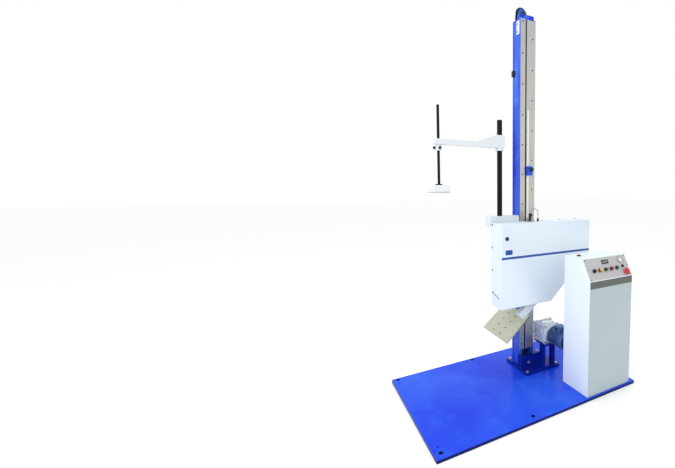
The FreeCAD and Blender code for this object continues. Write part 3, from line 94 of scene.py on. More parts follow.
class Look:
    # a material with its shader, and the patterns that feed it
    def __init__(self, name, **surface):
        self.material = bpy.data.materials.new(name)
        self.material.use_nodes = True
        self.tree = self.material.node_tree
        self.shader = self.tree.nodes["Principled BSDF"]
        for key, value in surface.items():
            self.shader.inputs[key.replace("_", " ")].default_value = value
        self.material.diffuse_color = surface["Base_Color"]
        self.place = self.add("ShaderNodeTexCoord", out="Object")

    def add(self, kind, settings=None, sockets=None, out=0):
        made = self.tree.nodes.new(kind)
        for key, value in (settings or {}).items():
            setattr(made, key, value)
        for key, value in (sockets or {}).items():
            if isinstance(value, Wire):
                self.tree.links.new(value.socket, made.inputs[key])
            else:
                made.inputs[key].default_value = value
        return Wire(self, made.outputs[out])

    def feed(self, **sockets):
        for key, value in sockets.items():
            self.tree.links.new(value.socket, self.shader.inputs[key.replace("_", " ")])

    def noise(self, scale, detail=2, stretch=(1, 1, 1), rough=0.5):
        spot = self.add("ShaderNodeMapping", sockets={"Vector": self.place, "Scale": stretch})
        return self.add("ShaderNodeTexNoise", sockets={
            "Vector": spot, "Scale": scale, "Detail": detail, "Roughness": rough})

    def axis(self, name):
        return self.add("ShaderNodeSeparateXYZ", sockets={"Vector": self.place}, out=name)

    def along(self, way, start=(0, 0, 0)):
        # distance from a point, measured along one direction
        away = self.add("ShaderNodeVectorMath", {"operation": "SUBTRACT"},
                        {0: self.place, 1: tuple(start)})
        return self.add("ShaderNodeVectorMath", {"operation": "DOT_PRODUCT"}, {0: away, 1: tuple(way)},
                        "Value")

    def mix(self, mask, low, high):
        return self.add("ShaderNodeMix", {"data_type": "RGBA"}, {0: mask, 6: low, 7: high}, 2)

    def tint(self, mask, shade):
        # another colour where the mask is 1, over what feeds the base colour already
        under = Wire(self, self.shader.inputs["Base Color"].links[0].from_socket)
        self.feed(Base_Color=self.mix(mask, under, shade))

    def spread(self, value, low, high):
        return self.add("ShaderNodeMapRange", sockets={"Value": value, "From Min": low,
                                                       "From Max": high})

    def bump(self, height, strength, distance):
        self.feed(Normal=self.add("ShaderNodeBump", sockets={
            "Height": height, "Strength": strength, "Distance": distance}))


def rgb(red, green, blue):
    # a screen colour, 0 to 255 each, as linear light
    def linear(value):
        value /= 255
        return value / 12.92 if value <= 0.04045 else ((value + 0.055) / 1.055) ** 2.4
    return (linear(red), linear(green), linear(blue), 1)


def enamel(name, deep, pale, rough=0.24, coat=0.06, peel=0.05, patch=2.2, stretch=(1, 1, 1)):
    # gloss enamel: slow drift of colour, which on the column and the base plate is partly painted highlight,
    # orange peel, duller rubbed patches
    look = Look(name, Base_Color=deep, Coat_Weight=coat, Coat_Roughness=0.12, Specular_IOR_Level=0.1)
    drift = look.spread(look.noise(patch, 4, stretch), 0.3, 0.85)
    rubbed = look.spread(look.noise(patch * 5, 6, rough=0.65), 0.5, 0.72)
    look.feed(Base_Color=look.mix(drift * 0.7 + rubbed * 0.2, deep, pale),
              Roughness=rough + rubbed * 0.14)
    look.bump(look.noise(220, 2) + look.noise(900, 1) * 0.3, peel, 0.0008)
    return look


def powderCoat(name, shade, shadow, rough=0.42):
    # fine even texture with faint handling marks
    look = Look(name, Base_Color=shade)
    drift = look.noise(1.7, 3)
    marks = look.spread(look.noise(9, 7, rough=0.7), 0.62, 0.8)
    look.feed(Base_Color=look.mix(drift * 0.35 + marks * 0.2, shade, shadow),
              Roughness=rough - marks * 0.1 + look.noise(40, 2) * 0.06)
    look.bump(look.noise(1500, 2), 0.09, 0.0004)
    return look


def brushed(name, shade, dark, run, rough=0.3, depth=0.05, metallic=1.0):
    # fine parallel lines that run along one axis
    look = Look(name, Base_Color=shade, Metallic=metallic)
    lines = look.noise(14, 5, [1 if way == run else 70 for way in "XYZ"], 0.7)
    cloud = look.noise(3, 4)
    look.feed(Base_Color=look.mix(lines * 0.5 + cloud * 0.4, shade, dark),
              Roughness=rough + lines * 0.16 + cloud * 0.08)
    look.bump(lines, depth, 0.0005)
    return look


def castAlloy(name, shade, dark, grain=500, rough=0.45, metallic=0.8):
    # cast or turned metal with stains and fine pits
    look = Look(name, Base_Color=shade, Metallic=metallic)
    pits = look.noise(grain, 4, rough=0.6)
    stain = look.spread(look.noise(14, 5, rough=0.7), 0.45, 0.75)
    look.feed(Base_Color=look.mix(stain * 0.6 + pits * 0.2, shade, dark), Roughness=rough + stain * 0.15)
    look.bump(pits, 0.22, 0.0006)
    return look


def moulded(name, shade, dark, rough=0.35, grain=1200, depth=0.06):
    # moulded plastic or rubber
    look = Look(name, Base_Color=shade)
    look.feed(Base_Color=look.mix(look.noise(30, 3) * 0.6, shade, dark),
              Roughness=rough + look.noise(90, 3) * 0.12)
    look.bump(look.noise(grain, 2), depth, 0.0003)
    return look


def coverPaint():
    # the housing's powder coat, with one stripe across its front
    stripe = {"low": 1.043, "high": 1.062, "front": -0.0375}
    look = powderCoat("coverPaint", rgb(212, 224, 234), rgb(199, 213, 226), 0.4)
    height = look.axis("Z")
    band = (height > stripe["low"]) * (height < stripe["high"]) * (look.axis("Y") < stripe["front"])
    look.tint(band, rgb(24, 74, 150))
    return look


def platePaint():
    # the base plate: gloss blue on top, with painted shade on its edges, every face below the top dark navy
    # partly painted reflection: big pale cloud patches stand in for soft glows on the gloss top, over random tone
    look = enamel("plateBlue", rgb(0, 44, 214), rgb(64, 122, 240), 0.3, 0.03, 0.08, 1.3)
    # painted shade: below the top face the plate turns dark navy, as its side faces look in shade
    look.tint(look.axis("Z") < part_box("base_plate")[1].z - 0.0016, rgb(6, 20, 96))
    return look


def consolePaint():
    # the console's powder coat, with painted shade: the front sheet below the strip a darker grey than the lit
    # sides
    sheet = {"front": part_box("console_cabinet")[0].y + 0.002, "top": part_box("console_strip")[0].z}
    look = powderCoat("consolePaint", rgb(224, 235, 242), rgb(211, 223, 232), 0.38)
    # painted shade on the front sheet below the strip
    front = (look.axis("Y") < sheet["front"]) * (look.axis("Z") < sheet["top"])
    look.tint(front, look.mix(look.noise(2.5, 3), rgb(164, 180, 185), rgb(174, 188, 191)))
    return look


def scaleTape():
    # a white tape with a mark each 10 mm, longer at 50 and 100 mm
    tape = {"left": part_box("height_scale")[0].x, "line": 0.0012}
    look = Look("scaleTape", Base_Color=rgb(232, 232, 226), Roughness=0.4)
    height, across = look.axis("Z"), look.axis("X") - tape["left"]
    marks = 0
    for pitch, reach in ((0.01, 0.0045), (0.05, 0.0075), (0.1, 0.0115)):
        marks = marks + ((height + tape["line"] / 2) % pitch < tape["line"]) * (across < reach)
    wear = look.noise(120, 4)
    paper = look.mix(wear * 0.5, rgb(236, 236, 230), rgb(196, 196, 188))
    look.feed(Base_Color=look.mix(marks > 0.5, paper, rgb(20, 20, 24)))
    look.bump(wear, 0.05, 0.0004)
    return look


def dialPaint(centre, radius):
    # a white gauge face with fine and bold ticks and a green arc
    look = Look("dialPaint", Base_Color=rgb(240, 240, 236), Roughness=0.35, Coat_Weight=0.5)
    across, rise = look.along((1, 0, 0), centre), look.along(slopeUp, centre)
    turn = across.sum("ARCTAN2", across, rise)
    reach = across.sum("SQRT", across * across + rise * rise) / radius
    inArc = abs(turn) < 2.4
    fine = ((turn + math.tau) % (math.pi / 20) < 0.035) * (reach > 0.74) * (reach < 0.88)
    bold = ((turn + math.tau) % (math.pi / 4) < 0.07) * (reach > 0.62) * (reach < 0.88)
    green = (reach > 0.92) * (reach < 0.97) * (turn > 1.2) * inArc
    faded = look.mix(look.noise(200, 2) * 0.3, rgb(242, 242, 238), rgb(214, 214, 208))
    inked = look.mix((fine + bold > 0.5) * inArc, faded, rgb(25, 25, 28))
    look.feed(Base_Color=look.mix(green, inked, rgb(40, 130, 70)))
    return look


finishes = {
    # painted highlight: pale streaks drawn out along the height stand in for the column's highlights, over random
    # tone
    "blue": enamel("columnBlue", rgb(8, 46, 200), rgb(96, 150, 236), stretch=(3, 3, 0.7)),
    "plateBlue": platePaint(),
    # painted shade: a darker copy of the blue enamel for the column foot and the motor stand, for the shade under
    # the column
    "shadedFootBlue": enamel("shadedFootBlue", rgb(6, 24, 124), rgb(14, 44, 170), 0.3, 0.1, 0.08, 5),
    "motorBlue": enamel("motorBlue", rgb(48, 74, 124), rgb(74, 104, 160), 0.3, 0.3, 0.05, 8),
    "white": powderCoat("whiteCoat", rgb(208, 217, 222), rgb(192, 203, 211)),
    "cover": coverPaint(),
    "console": consolePaint(),
    "arm": powderCoat("armCoat", rgb(214, 219, 222), rgb(196, 202, 206), 0.4),
    "stainless": brushed("stainlessStrip", rgb(214, 214, 208), rgb(152, 153, 150), "Z", 0.3),
    "leaf": brushed("leafPlate", rgb(194, 198, 178), rgb(164, 168, 150), "X", 0.42, 0.04, 0.3),
    "panel": brushed("panelPlate", rgb(194, 194, 197), rgb(170, 170, 174), "X", 0.36, 0.03, 0.4),
    "chrome": brushed("darkChrome", rgb(44, 43, 44), rgb(5, 5, 6), "Z", 0.22, 0.02),
    "alloy": castAlloy("castAlloy", rgb(222, 230, 238), rgb(180, 190, 200), metallic=0.45),
    "machined": brushed("machinedAlloy", rgb(204, 206, 208), rgb(160, 162, 166), "Y", 0.28),
    "zinc": castAlloy("zincSteel", rgb(190, 192, 194), rgb(120, 122, 126), 900, 0.3, 1.0),
    "darkSteel": castAlloy("oiledSteel", rgb(58, 60, 66), rgb(24, 25, 30), 800, 0.34, 1.0),
    "blackScrew": castAlloy("blackenedScrew", rgb(16, 16, 18), rgb(6, 6, 8), 800, 0.5, 0.15),
    "trim": moulded("trimStrip", rgb(92, 98, 90), rgb(78, 84, 78), 0.45, 700),
    "black": moulded("blackPlastic", rgb(14, 14, 16), rgb(6, 6, 8), 0.4),
    "facing": moulded("padFacing", rgb(176, 178, 180), rgb(150, 152, 156), 0.7, 500, 0.2),
    "red": moulded("redCap", rgb(214, 18, 24), rgb(170, 10, 16), 0.2, 300, 0.02),
    "darkRed": moulded("darkRedCap", rgb(150, 22, 30), rgb(110, 12, 20), 0.2, 300, 0.02),
    "yellow": moulded("yellowCap", rgb(222, 176, 40), rgb(186, 140, 24), 0.2, 300, 0.02),
    "green": moulded("greenCap", rgb(16, 98, 54), rgb(8, 70, 36), 0.25, 300, 0.02),
    "pad": moulded("padBlock", rgb(222, 225, 226), rgb(206, 209, 212), 0.45, 500, 0.08),
    "hose": moulded("airHose", rgb(140, 136, 120), rgb(104, 100, 88), 0.3, 500, 0.03),
    "tape": scaleTape(),
    "glass": moulded("displayGlass", rgb(12, 20, 16), rgb(6, 10, 8), 0.15, 60, 0.01),
    "digit": moulded("litDigit", rgb(238, 246, 238), rgb(214, 230, 214), 0.3, 300, 0.02),
    "badge": enamel("badgeBlue", rgb(24, 74, 150), rgb(40, 96, 176), 0.25, 0.4, 0.02, 20),
}
print("finishes made")

# every CAD node that stays in view takes its finish here
dressing = {
    "plateBlue": ["base_plate"],
    "blue": ["column", "wheel_bracket", "height_stop"],
    "shadedFootBlue": ["column_foot", "motor_stand"],
    "motorBlue": ["motor_body", "shaft_bearings"],
    "white": ["carriage_plate", "swing_arm", "post_block", "chain_guard"],
    "cover": ["front_cover"],
    "console": ["console_cabinet", "console_rear_panel"],
    "arm": ["support_arm", "arm_ring"],
    "stainless": ["column_covers"],
    "leaf": ["drop_leaf"],
    "panel": ["panel_plate"],
    "chrome": ["post", "press_rod"],
    "alloy": ["gearhead", "truck"],
    "machined": ["swing_cylinder"],
    "zinc": ["frame_bolts", "cover_screws", "console_screws", "cover_bolts", "button_bezels",
             "guide_rails", "guide_blocks", "cylinder_rod"],
    "darkSteel": ["lift_chain", "drive_chain", "top_wheel", "lower_shaft", "motor_wheel"],
    "trim": ["console_strip"],
    "black": ["upper_limit_switch", "drive_controls", "panel_instruments", "pivot_cap", "cable_fittings",
              "black_button", "selector_switch", "stop_knob", "thumb_screw_side", "thumb_screw_front"],
    "yellow": ["yellow_button"],
    "green": ["green_button", "start_button"],
    "red": ["red_button", "emergency_stop"],
    "pad": ["press_pad"],
    "facing": ["pad_facing"],
    "hose": ["cable_loop"],
    "tape": ["height_scale"],
}
for finish, names in dressing.items():
    for name in names:
        for slot in nodes[name].material_slots:
            slot.material = finishes[finish].material
undressed = sorted(set(nodes) - {name for names in dressing.values() for name in names})
print("nodes dressed, left plain:", undressed)


def unit(build):
    # a small shape made once, to be stamped in many places
    bm = bmesh.new()
    build(bm)
    bmesh.ops.remove_doubles(bm, verts=bm.verts, dist=1e-6)
    bmesh.ops.recalc_face_normals(bm, faces=bm.faces)
    mesh = bpy.data.meshes.new("unit")
    bm.to_mesh(mesh)
    bm.free()
    return mesh


def stamp(bm, mesh, place):
    copy = mesh.copy()
    copy.transform(place)
    bm.from_mesh(copy)
    bpy.data.meshes.remove(copy)


def shaped(bm, place, shade, build):
    # a shape made on its own first, so that its cuts and joins touch nothing else
    part = bmesh.new()
    build(part)
    for face in part.faces:
        face.material_index = shade
    mesh = bpy.data.meshes.new("part")
    part.to_mesh(mesh)
    part.free()
    stamp(bm, mesh, place)
    bpy.data.meshes.remove(mesh)


def lathe(bm, profile, steps=32, shade=0, place=Matrix()):
    # (radius, height) points turned about Z
    def build(part):
        verts = [part.verts.new((radius, 0, height)) for radius, height in profile]
        edges = [part.edges.new(pair) for pair in zip(verts, verts[1:])]
        bmesh.ops.spin(part, geom=verts + edges, cent=(0, 0, 0), axis=(0, 0, 1), dvec=(0, 0, 0),
                       angle=math.tau, steps=steps, use_merge=True)
    shaped(bm, place, shade, build)


def block(bm, low, high, bevel=0.0, segments=2, shade=0, place=Matrix()):
    def build(part):
        centre = Matrix.Translation((Vector(low) + Vector(high)) / 2)
        size = Matrix.Diagonal((*(Vector(high) - Vector(low)), 1))
        bmesh.ops.create_cube(part, size=1, matrix=centre @ size)
        if bevel:
            bmesh.ops.bevel(part, geom=part.edges[:], offset=bevel, offset_type="OFFSET",
                            segments=segments, profile=0.5, affect="EDGES", material=-1)
    shaped(bm, place, shade, build)


def slab(bm, outline, thick, bevel=0.0, shade=0, place=Matrix()):
    # a flat outline in XY raised along Z, with its upper edge eased
    def build(part):
        face = part.faces.new([part.verts.new((x, y, 0)) for x, y in outline])
        raised = bmesh.ops.extrude_face_region(part, geom=[face])["geom"]
        bmesh.ops.translate(part, vec=(0, 0, thick),
                            verts=[item for item in raised if isinstance(item, bmesh.types.BMVert)])
        if bevel:
            rim = {edge for item in raised if isinstance(item, bmesh.types.BMFace)
                   for edge in item.edges}
            bmesh.ops.bevel(part, geom=list(rim), offset=bevel, offset_type="OFFSET", segments=2,
                            profile=0.5, affect="EDGES", material=-1)
        bmesh.ops.recalc_face_normals(part, faces=part.faces)
    shaped(bm, place, shade, build)


def rounded(width, height, radius, steps=4):
    # the outline of a rectangle with round corners
    points = []
    for turn, (side, rise) in enumerate(((1, 1), (-1, 1), (-1, -1), (1, -1))):
        for step in range(steps + 1):
            angle = math.radians(90 * (turn + step / steps))
            points.append((side * (width / 2 - radius) + radius * math.cos(angle),
                           rise * (height / 2 - radius) + radius * math.sin(angle)))
    return points


def piece(name, body, bm, looks, stands=(), crease=32):
    # a finished mesh at the origin that rides on its body
    bmesh.ops.remove_doubles(bm, verts=bm.verts, dist=2e-6)
    bmesh.ops.recalc_face_normals(bm, faces=bm.faces)
    for edge in bm.edges:
        edge.smooth = len(edge.link_faces) == 2 and edge.calc_face_angle(0) < math.radians(crease)
    for face in bm.faces:  # a face with only level neighbours is flat, so nothing shades across it
        face.smooth = any(edge.smooth and edge.calc_face_angle(0) > math.radians(1)
                          for edge in face.edges)
    mesh = bpy.data.meshes.new(name)
    bm.to_mesh(mesh)
    bm.free()
    for look in looks:
        mesh.materials.append(finishes[look].material)
    made = bpy.data.objects.new(name, mesh)
    scene.collection.objects.link(made)
    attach(made, body)
    if stands:
        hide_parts(*stands)
    return made


def copied(name):
    # a merged copy of a CAD node, with its flat faces whole again
    bm = bmesh.new()
    bm.from_mesh(nodes[name].data)
    bmesh.ops.remove_doubles(bm, verts=bm.verts, dist=1e-5)
    bmesh.ops.dissolve_limit(bm, angle_limit=math.radians(0.5), verts=bm.verts, edges=bm.edges,
                             use_dissolve_boundaries=False, delimit={"NORMAL"})
    return bm


def islands(name):
    # the box of each separate solid of a CAD node
    bm = bmesh.new()
    bm.from_mesh(nodes[name].data)
    bmesh.ops.remove_doubles(bm, verts=bm.verts, dist=1e-5)
    seen, found = set(), []
    for start in bm.verts:
        if start in seen:
            continue
        seen.add(start)
        stack, low, high = [start], start.co.copy(), start.co.copy()
        while stack:
            vert = stack.pop()
            low, high = Vector(map(min, low, vert.co)), Vector(map(max, high, vert.co))
            for edge in vert.link_edges:
                other = edge.other_vert(vert)
                if other not in seen:
                    seen.add(other)
                    stack.append(other)
        found.append((low, high))
    bm.free()
    return found


def facing(way, at, turn=0.0):
    # local Z points along way and local X stays level
    way = Vector(way).normalized()
    flat = Vector((0, 1, 0)) if abs(way.x) > 0.9 else Vector((1, 0, 0))
    up = way.cross(flat).normalized()
    axes = Matrix((up.cross(way), up, way)).transposed().to_4x4()
    return Matrix.Translation(Vector(at)) @ axes @ Matrix.Rotation(turn, 4, "Z")


def middle(name):
    low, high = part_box(name)
    return (low + high) / 2


def span(name, way):
    # how far a CAD node reaches along a direction
    reach = [vert.co.dot(way) for vert in nodes[name].data.vertices]
    return min(reach), max(reach)


easing = {"sharp": 28, "segments": 2, "crease": 20}


def eased(name, body, look, offset):
    # the CAD shape again, with its sharp edges rounded as sheet metal and castings have them
    bm = copied(name)
    sharp = [edge for edge in bm.edges
             if len(edge.link_faces) == 2 and edge.calc_face_angle(0) > math.radians(easing["sharp"])]
    bmesh.ops.bevel(bm, geom=sharp, offset=offset, offset_type="OFFSET", segments=easing["segments"],
                    profile=0.5, affect="EDGES", material=-1, clamp_overlap=True)
    piece(name.replace("_", "") + "Eased", body, bm, [look], [name], easing["crease"])


# camera, light and floor
view = {"lens": 19.40, "shift": (-0.2585, -0.0154), "at": (-1.5165, -2.4254, 1.5994), "yaw": 31.8,
        "pitch": 5.6, "roll": -0.1}
lens = bpy.data.cameras.new("viewer")
lens.lens, lens.sensor_width, lens.sensor_fit = view["lens"], 36, "HORIZONTAL"
lens.shift_x, lens.shift_y = view["shift"]
viewer = bpy.data.objects.new("viewer", lens)
viewer.location = view["at"]
viewer.rotation_euler = [math.radians(turn) for turn in (90 - view["pitch"], view["roll"], -view["yaw"])]
scene.collection.objects.link(viewer)
scene.camera = viewer

studio = {"sky": 1.0, "tint": (1.0, 1.0, 1.0, 1), "floor": rgb(252, 252, 252)}
lamps = {  # place, target, size, power
    "keySoftbox": ((-3.6, -1.6, 3.6), (0.2, 0.0, 1.0), 2.6, 78),
    "frontSoftbox": ((1.2, -4.4, 2.6), (0.3, 0.0, 1.0), 2.4, 4),
    "topSoftbox": ((0.3, 0.4, 5.4), (0.0, 0.0, 0.0), 3.0, 22),
    "rearSoftbox": ((2.8, 3.6, 2.6), (0.2, 0.0, 1.2), 2.4, 3),
}
scene.view_settings.view_transform = "Standard"
world = bpy.data.worlds.new("studioSky")
scene.world = world
world.use_nodes = True
sky = world.node_tree.nodes["Background"]
sky.inputs["Color"].default_value, sky.inputs["Strength"].default_value = studio["tint"], studio["sky"]
for name, (place, target, size, power) in lamps.items():
    light = bpy.data.lights.new(name, "AREA")
    light.shape, light.size, light.energy = "SQUARE", size, power
    lamp = bpy.data.objects.new(name, light)
    lamp.location = place
    lamp.rotation_euler = (Vector(target) - Vector(place)).to_track_quat("-Z", "Y").to_euler()
    scene.collection.objects.link(lamp)
bm = bmesh.new()
bmesh.ops.create_grid(bm, x_segments=1, y_segments=1, size=40)
floorMesh = bpy.data.meshes.new("studioFloor")
bm.to_mesh(floorMesh)
bm.free()
floorLook = Look("studioFloor", Base_Color=studio["floor"], Roughness=0.9)
floorLook.feed(Roughness=0.86 + floorLook.noise(3, 2) * 0.08)
floorMesh.materials.append(floorLook.material)
floor = bpy.data.objects.new("studioFloor", floorMesh)
scene.collection.objects.link(floor)
print("camera, light and floor set")


# roller chain: outer and inner links in turn round two wheels
chain = {"pitchRadius": 0.046, "pitch": 0.0159, "plateHigh": 0.0118, "plateThick": 0.0013,
         "innerHalf": 0.0032, "outerHalf": 0.0048, "roller": 0.0045, "pinHalf": 0.0074, "pin": 0.0021}
lowZ, topZ = middle("lower_shaft").z, middle("top_wheel").z
chainX, motorX = middle("top_wheel").x, middle("motor_wheel").x
liftY, driveY = middle("lift_chain").y, middle("drive_chain").y


def chainLink(pitch, half, pins):
    def build(bm):
        outline = rounded(pitch + chain["plateHigh"] * 0.86, chain["plateHigh"],
                          chain["plateHigh"] * 0.49, 3)
        turned = Matrix.Rotation(math.radians(90), 4, "X")
        for side in (half, -half - chain["plateThick"]):
            slab(bm, outline, chain["plateThick"],
                 place=Matrix.Translation((0, side + chain["plateThick"], 0)) @ turned)
        radius, reach = (chain["pin"], chain["pinHalf"]) if pins else (chain["roller"], half)
        for end in (-pitch / 2, pitch / 2):
            profile = [(0, -reach), (radius, -reach), (radius, reach), (0, reach)] if pins else \
                      [(radius, -reach), (radius, reach)]
            lathe(bm, profile, 6 if pins else 8, place=Matrix.Translation((end, 0, 0)) @ turned)
    return unit(build)


def chainLoop(name, node, start, finish, y):
    # start and finish are the wheels' centres in the XZ plane
    start, finish = Vector(start), Vector(finish)
    reach, radius = (finish - start).length, chain["pitchRadius"]
    ahead = (finish - start).normalized()
    out = Vector((-ahead.y, ahead.x))
    whole = 2 * reach + math.tau * radius
    count = 2 * round(whole / chain["pitch"] / 2)

    def spot(distance):
        distance %= whole
        if distance < reach:
            return start + ahead * distance + out * radius
        distance -= reach
        if distance < math.pi * radius:
            turn = distance / radius
            return finish + out * radius * math.cos(turn) + ahead * radius * math.sin(turn)
        distance -= math.pi * radius
        if distance < reach:
            return finish - ahead * distance - out * radius
        turn = (distance - reach) / radius
        return start - out * radius * math.cos(turn) - ahead * radius * math.sin(turn)

    pitch = whole / count
    inner = chainLink(pitch, chain["innerHalf"], False)
    outer = chainLink(pitch, chain["outerHalf"], True)
    bm = bmesh.new()
    for step in range(count):
        first, last = spot(step * pitch), spot((step + 1) * pitch)
        run = (last - first).normalized()
        centre = (first + last) / 2
        axes = Matrix(((run.x, 0, -run.y), (0, 1, 0), (run.y, 0, run.x))).to_4x4()
        stamp(bm, outer if step % 2 else inner, Matrix.Translation((centre.x, y, centre.y)) @ axes)
    piece(name, "frame", bm, ["darkSteel"], [node], 40)


chainLoop("liftChainLinks", "lift_chain", (chainX, lowZ), (chainX, topZ), liftY)
chainLoop("driveChainLinks", "drive_chain", (chainX, lowZ), (motorX, lowZ), driveY)
print("chains linked")

# sprockets with eighteen teeth, their hubs and their shafts
# the teeth stay below the chain's rollers, so the wheels turn clear of the standing chain
sprocket = {"teeth": 18, "thick": 0.0058, "tip": 0.0413, "root": 0.0362, "hub": 0.021, "chamfer": 0.001,
            "shaft": 0.01, "motorShaft": 0.0115, "topHub": (0.2155, 0.2455), "lowHub": (0.204, 0.245),
            "motorHub": (0.2, 0.2225)}


def toothed(bm, y, phase=0.0):
    outline = []
    for tooth in range(sprocket["teeth"]):
        for share, radius in ((0.0, "root"), (0.16, "root"), (0.3, 0.62), (0.44, "tip"), (0.56, "tip"),
                              (0.7, 0.62), (0.84, "root")):
            reach = sprocket[radius] if isinstance(radius, str) else \
                sprocket["root"] + (sprocket["tip"] - sprocket["root"]) * radius
            angle = math.tau * (tooth + share) / sprocket["teeth"] + phase
            outline.append((reach * math.cos(angle), reach * math.sin(angle)))
    slab(bm, outline, sprocket["thick"], sprocket["chamfer"],
         place=Matrix.Translation((0, y + sprocket["thick"] / 2, 0)) @ Matrix.Rotation(math.radians(90),
             4, "X"))


def wheelSet(name, body, centre, shaftRadius, ends, discs, hubs):
    bm = bmesh.new()
    back = Matrix.Rotation(math.radians(-90), 4, "X")
    low, high = ends
    chamfer = sprocket["chamfer"]
    lathe(bm, [(0, low), (shaftRadius - chamfer, low), (shaftRadius, low + chamfer),
               (shaftRadius, high - chamfer), (shaftRadius - chamfer, high), (0, high)], 32, place=back)
    for disc in discs:
        toothed(bm, disc)
    for low, high in hubs:
        hub = sprocket["hub"]
        lathe(bm, [(shaftRadius, low), (hub - chamfer, low), (hub, low + chamfer), (hub, high - chamfer),
                   (hub - chamfer, high), (shaftRadius, high)], 32, place=back)
    bmesh.ops.translate(bm, vec=(centre[0], 0, centre[1]), verts=bm.verts)
    piece(name, body, bm, ["darkSteel"], [body])


def shaftEnds(node):
    low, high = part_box(node)
    return low.y, high.y


wheelSet("topSprocket", "top_wheel", (chainX, topZ), sprocket["shaft"], shaftEnds("top_wheel"), [liftY],
         [sprocket["topHub"]])
wheelSet("lowerSprockets", "lower_shaft", (chainX, lowZ), sprocket["shaft"], shaftEnds("lower_shaft"),
         [liftY, driveY], [sprocket["lowHub"]])
wheelSet("motorSprocket", "motor_wheel", (motorX, lowZ), sprocket["motorShaft"],
         shaftEnds("motor_wheel"), [driveY], [sprocket["motorHub"]])
print("sprockets made")

# fasteners: each takes the place and size of its CAD solid
screwParts = {"hexChamfer": 0.12, "washer": 0.22, "socket": 0.5, "socketDeep": 0.6}


def hexHead(bm):
    # a unit hex bolt on a washer: radius 1, height 1, on Z from 0
    steps, low = 24, screwParts["washer"]
    lathe(bm, [(0.3, 0), (0.94, 0), (1, low * 0.2), (1, low * 0.8), (0.94, low), (0.3, low)], steps)
    hexagon = [(0.86 * math.cos(math.radians(60 * corner)), 0.86 * math.sin(math.radians(60 * corner)))
               for corner in range(6)]
    slab(bm, hexagon, 1 - low, screwParts["hexChamfer"], place=Matrix.Translation((0, 0, low)))


def socketHead(bm):
    # a unit domed screw with a hexagon socket: radius 1, height 1, on Z from 0
    socket, floorAt = screwParts["socket"], 1 - screwParts["socketDeep"]
    lathe(bm, [(0, 0), (1, 0), (1, 0.25), (0.93, 0.6), (0.78, 0.86), (0.62, 0.98), (socket + 0.04, 1),
               (socket, 0.96), (socket, floorAt), (0, floorAt)], 24)
    for vert in bm.verts:
        reach = math.hypot(vert.co.x, vert.co.y)
        if 0.01 < reach < socket + 0.01:
            turn = math.atan2(vert.co.y, vert.co.x) % math.radians(60) - math.radians(30)
            pull = math.cos(math.radians(30)) / math.cos(turn)
            vert.co.x, vert.co.y = vert.co.x * pull, vert.co.y * pull


hexUnit, socketUnit = unit(hexHead), unit(socketHead)


def fastened(name, node, body, look, wayOf, shape, wider=1.0):
    bm = bmesh.new()
    for index, (low, high) in enumerate(islands(node)):
        way = Vector(wayOf(low, high))
        size, centre = high - low, (low + high) / 2
        if max(abs(part) for part in way) > 0.99:  # square to the frame, so its box gives its size
            thick = abs(size.dot(way))
            radius = (sum(size) - thick) / 4
        else:
            radius = size.x / 2
            thick = (size.y - 2 * radius * abs(way.z)) / abs(way.y)
        grown = Matrix.Diagonal((radius * wider, radius * wider, thick, 1))
        stamp(bm, shape, facing(way, centre - way * thick / 2, 0.4 * index) @ grown)
    piece(name, body, bm, [look], [node], 30)


def frameBoltWay(low, high):
    size = high - low
    if size.z < min(size.x, size.y):
        return (0, 0, 1)
    return (0, -1, 0) if size.y < size.x else (-1, 0, 0)


fastened("frameHexBolts", "frame_bolts", "frame", "zinc", frameBoltWay, hexUnit)
fastened("stripScrews", "cover_screws", "frame", "blackScrew", lambda low, high: (0, -1, 0), socketUnit)
fastened("consoleScrews", "console_screws", "frame", "blackScrew",
         lambda low, high: (0, 1, 0) if low.y > -0.3 else outward, socketUnit, wider=1.25)
fastened("coverScrews", "cover_bolts", "carriage", "blackScrew",
         lambda low, high: (-1, 0, 0) if low.x < 0 else (1, 0, 0), socketUnit, wider=1.4)


def bolted(bm, shape, radius, thick, way, spots):
    for index, spot in enumerate(spots):
        stamp(bm, shape, facing(way, spot, 0.5 * index) @ Matrix.Diagonal((radius, radius, thick, 1)))


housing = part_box("front_cover")
topScrews = {"radius": 0.006, "thick": 0.003, "first": 0.36, "pitch": 0.19, "inset": 0.022, "count": 3}
bm = bmesh.new()
bolted(bm, socketUnit, topScrews["radius"], topScrews["thick"], (0, 0, 1),
       [(topScrews["first"] + topScrews["pitch"] * step, housing[1].y - topScrews["inset"], housing[1].z)
        for step in range(topScrews["count"])])
piece("coverTopScrews", "carriage", bm, ["blackScrew"])

# threaded inserts with blind bottoms in the leaf's eight holes
insert = {"radius": 0.00424, "bore": 0.0034, "deep": 0.0116, "thread": 0.0015, "flange": 0.0066,
          "proud": 0.0004}
bm = bmesh.new()
for mount in frame["record"]["mounts"]:
    if mount["name"].startswith("leaf_screws"):
        radius, bore, deep, thread = (insert[key] for key in ("radius", "bore", "deep", "thread"))
        turns = int((deep - 2 * thread) / thread)
        flange, proud = insert["flange"], insert["proud"]
        profile = [(0, -deep), (radius, -deep), (radius, 0), (flange, 0), (flange - 0.0002, proud),
                   (bore + 0.0006, proud), (bore + 0.0004, -0.0003)]
        for turn in range(turns):
            profile += [(bore, -thread * (turn + 0.7)), (bore + 0.0004, -thread * (turn + 1.2))]
        profile.append((0, profile[-1][1]))
        for side in (-1, 1):
            spot = Vector(mount["pos_m"]) + Vector((0, side * mount["dims"]["pcd_mm"] / 2000, 0))
            lathe(bm, profile, 20, place=facing(mount["axis"], spot))
piece("leafInserts", "swing", bm, ["blackScrew"], crease=50)
print("fasteners made")

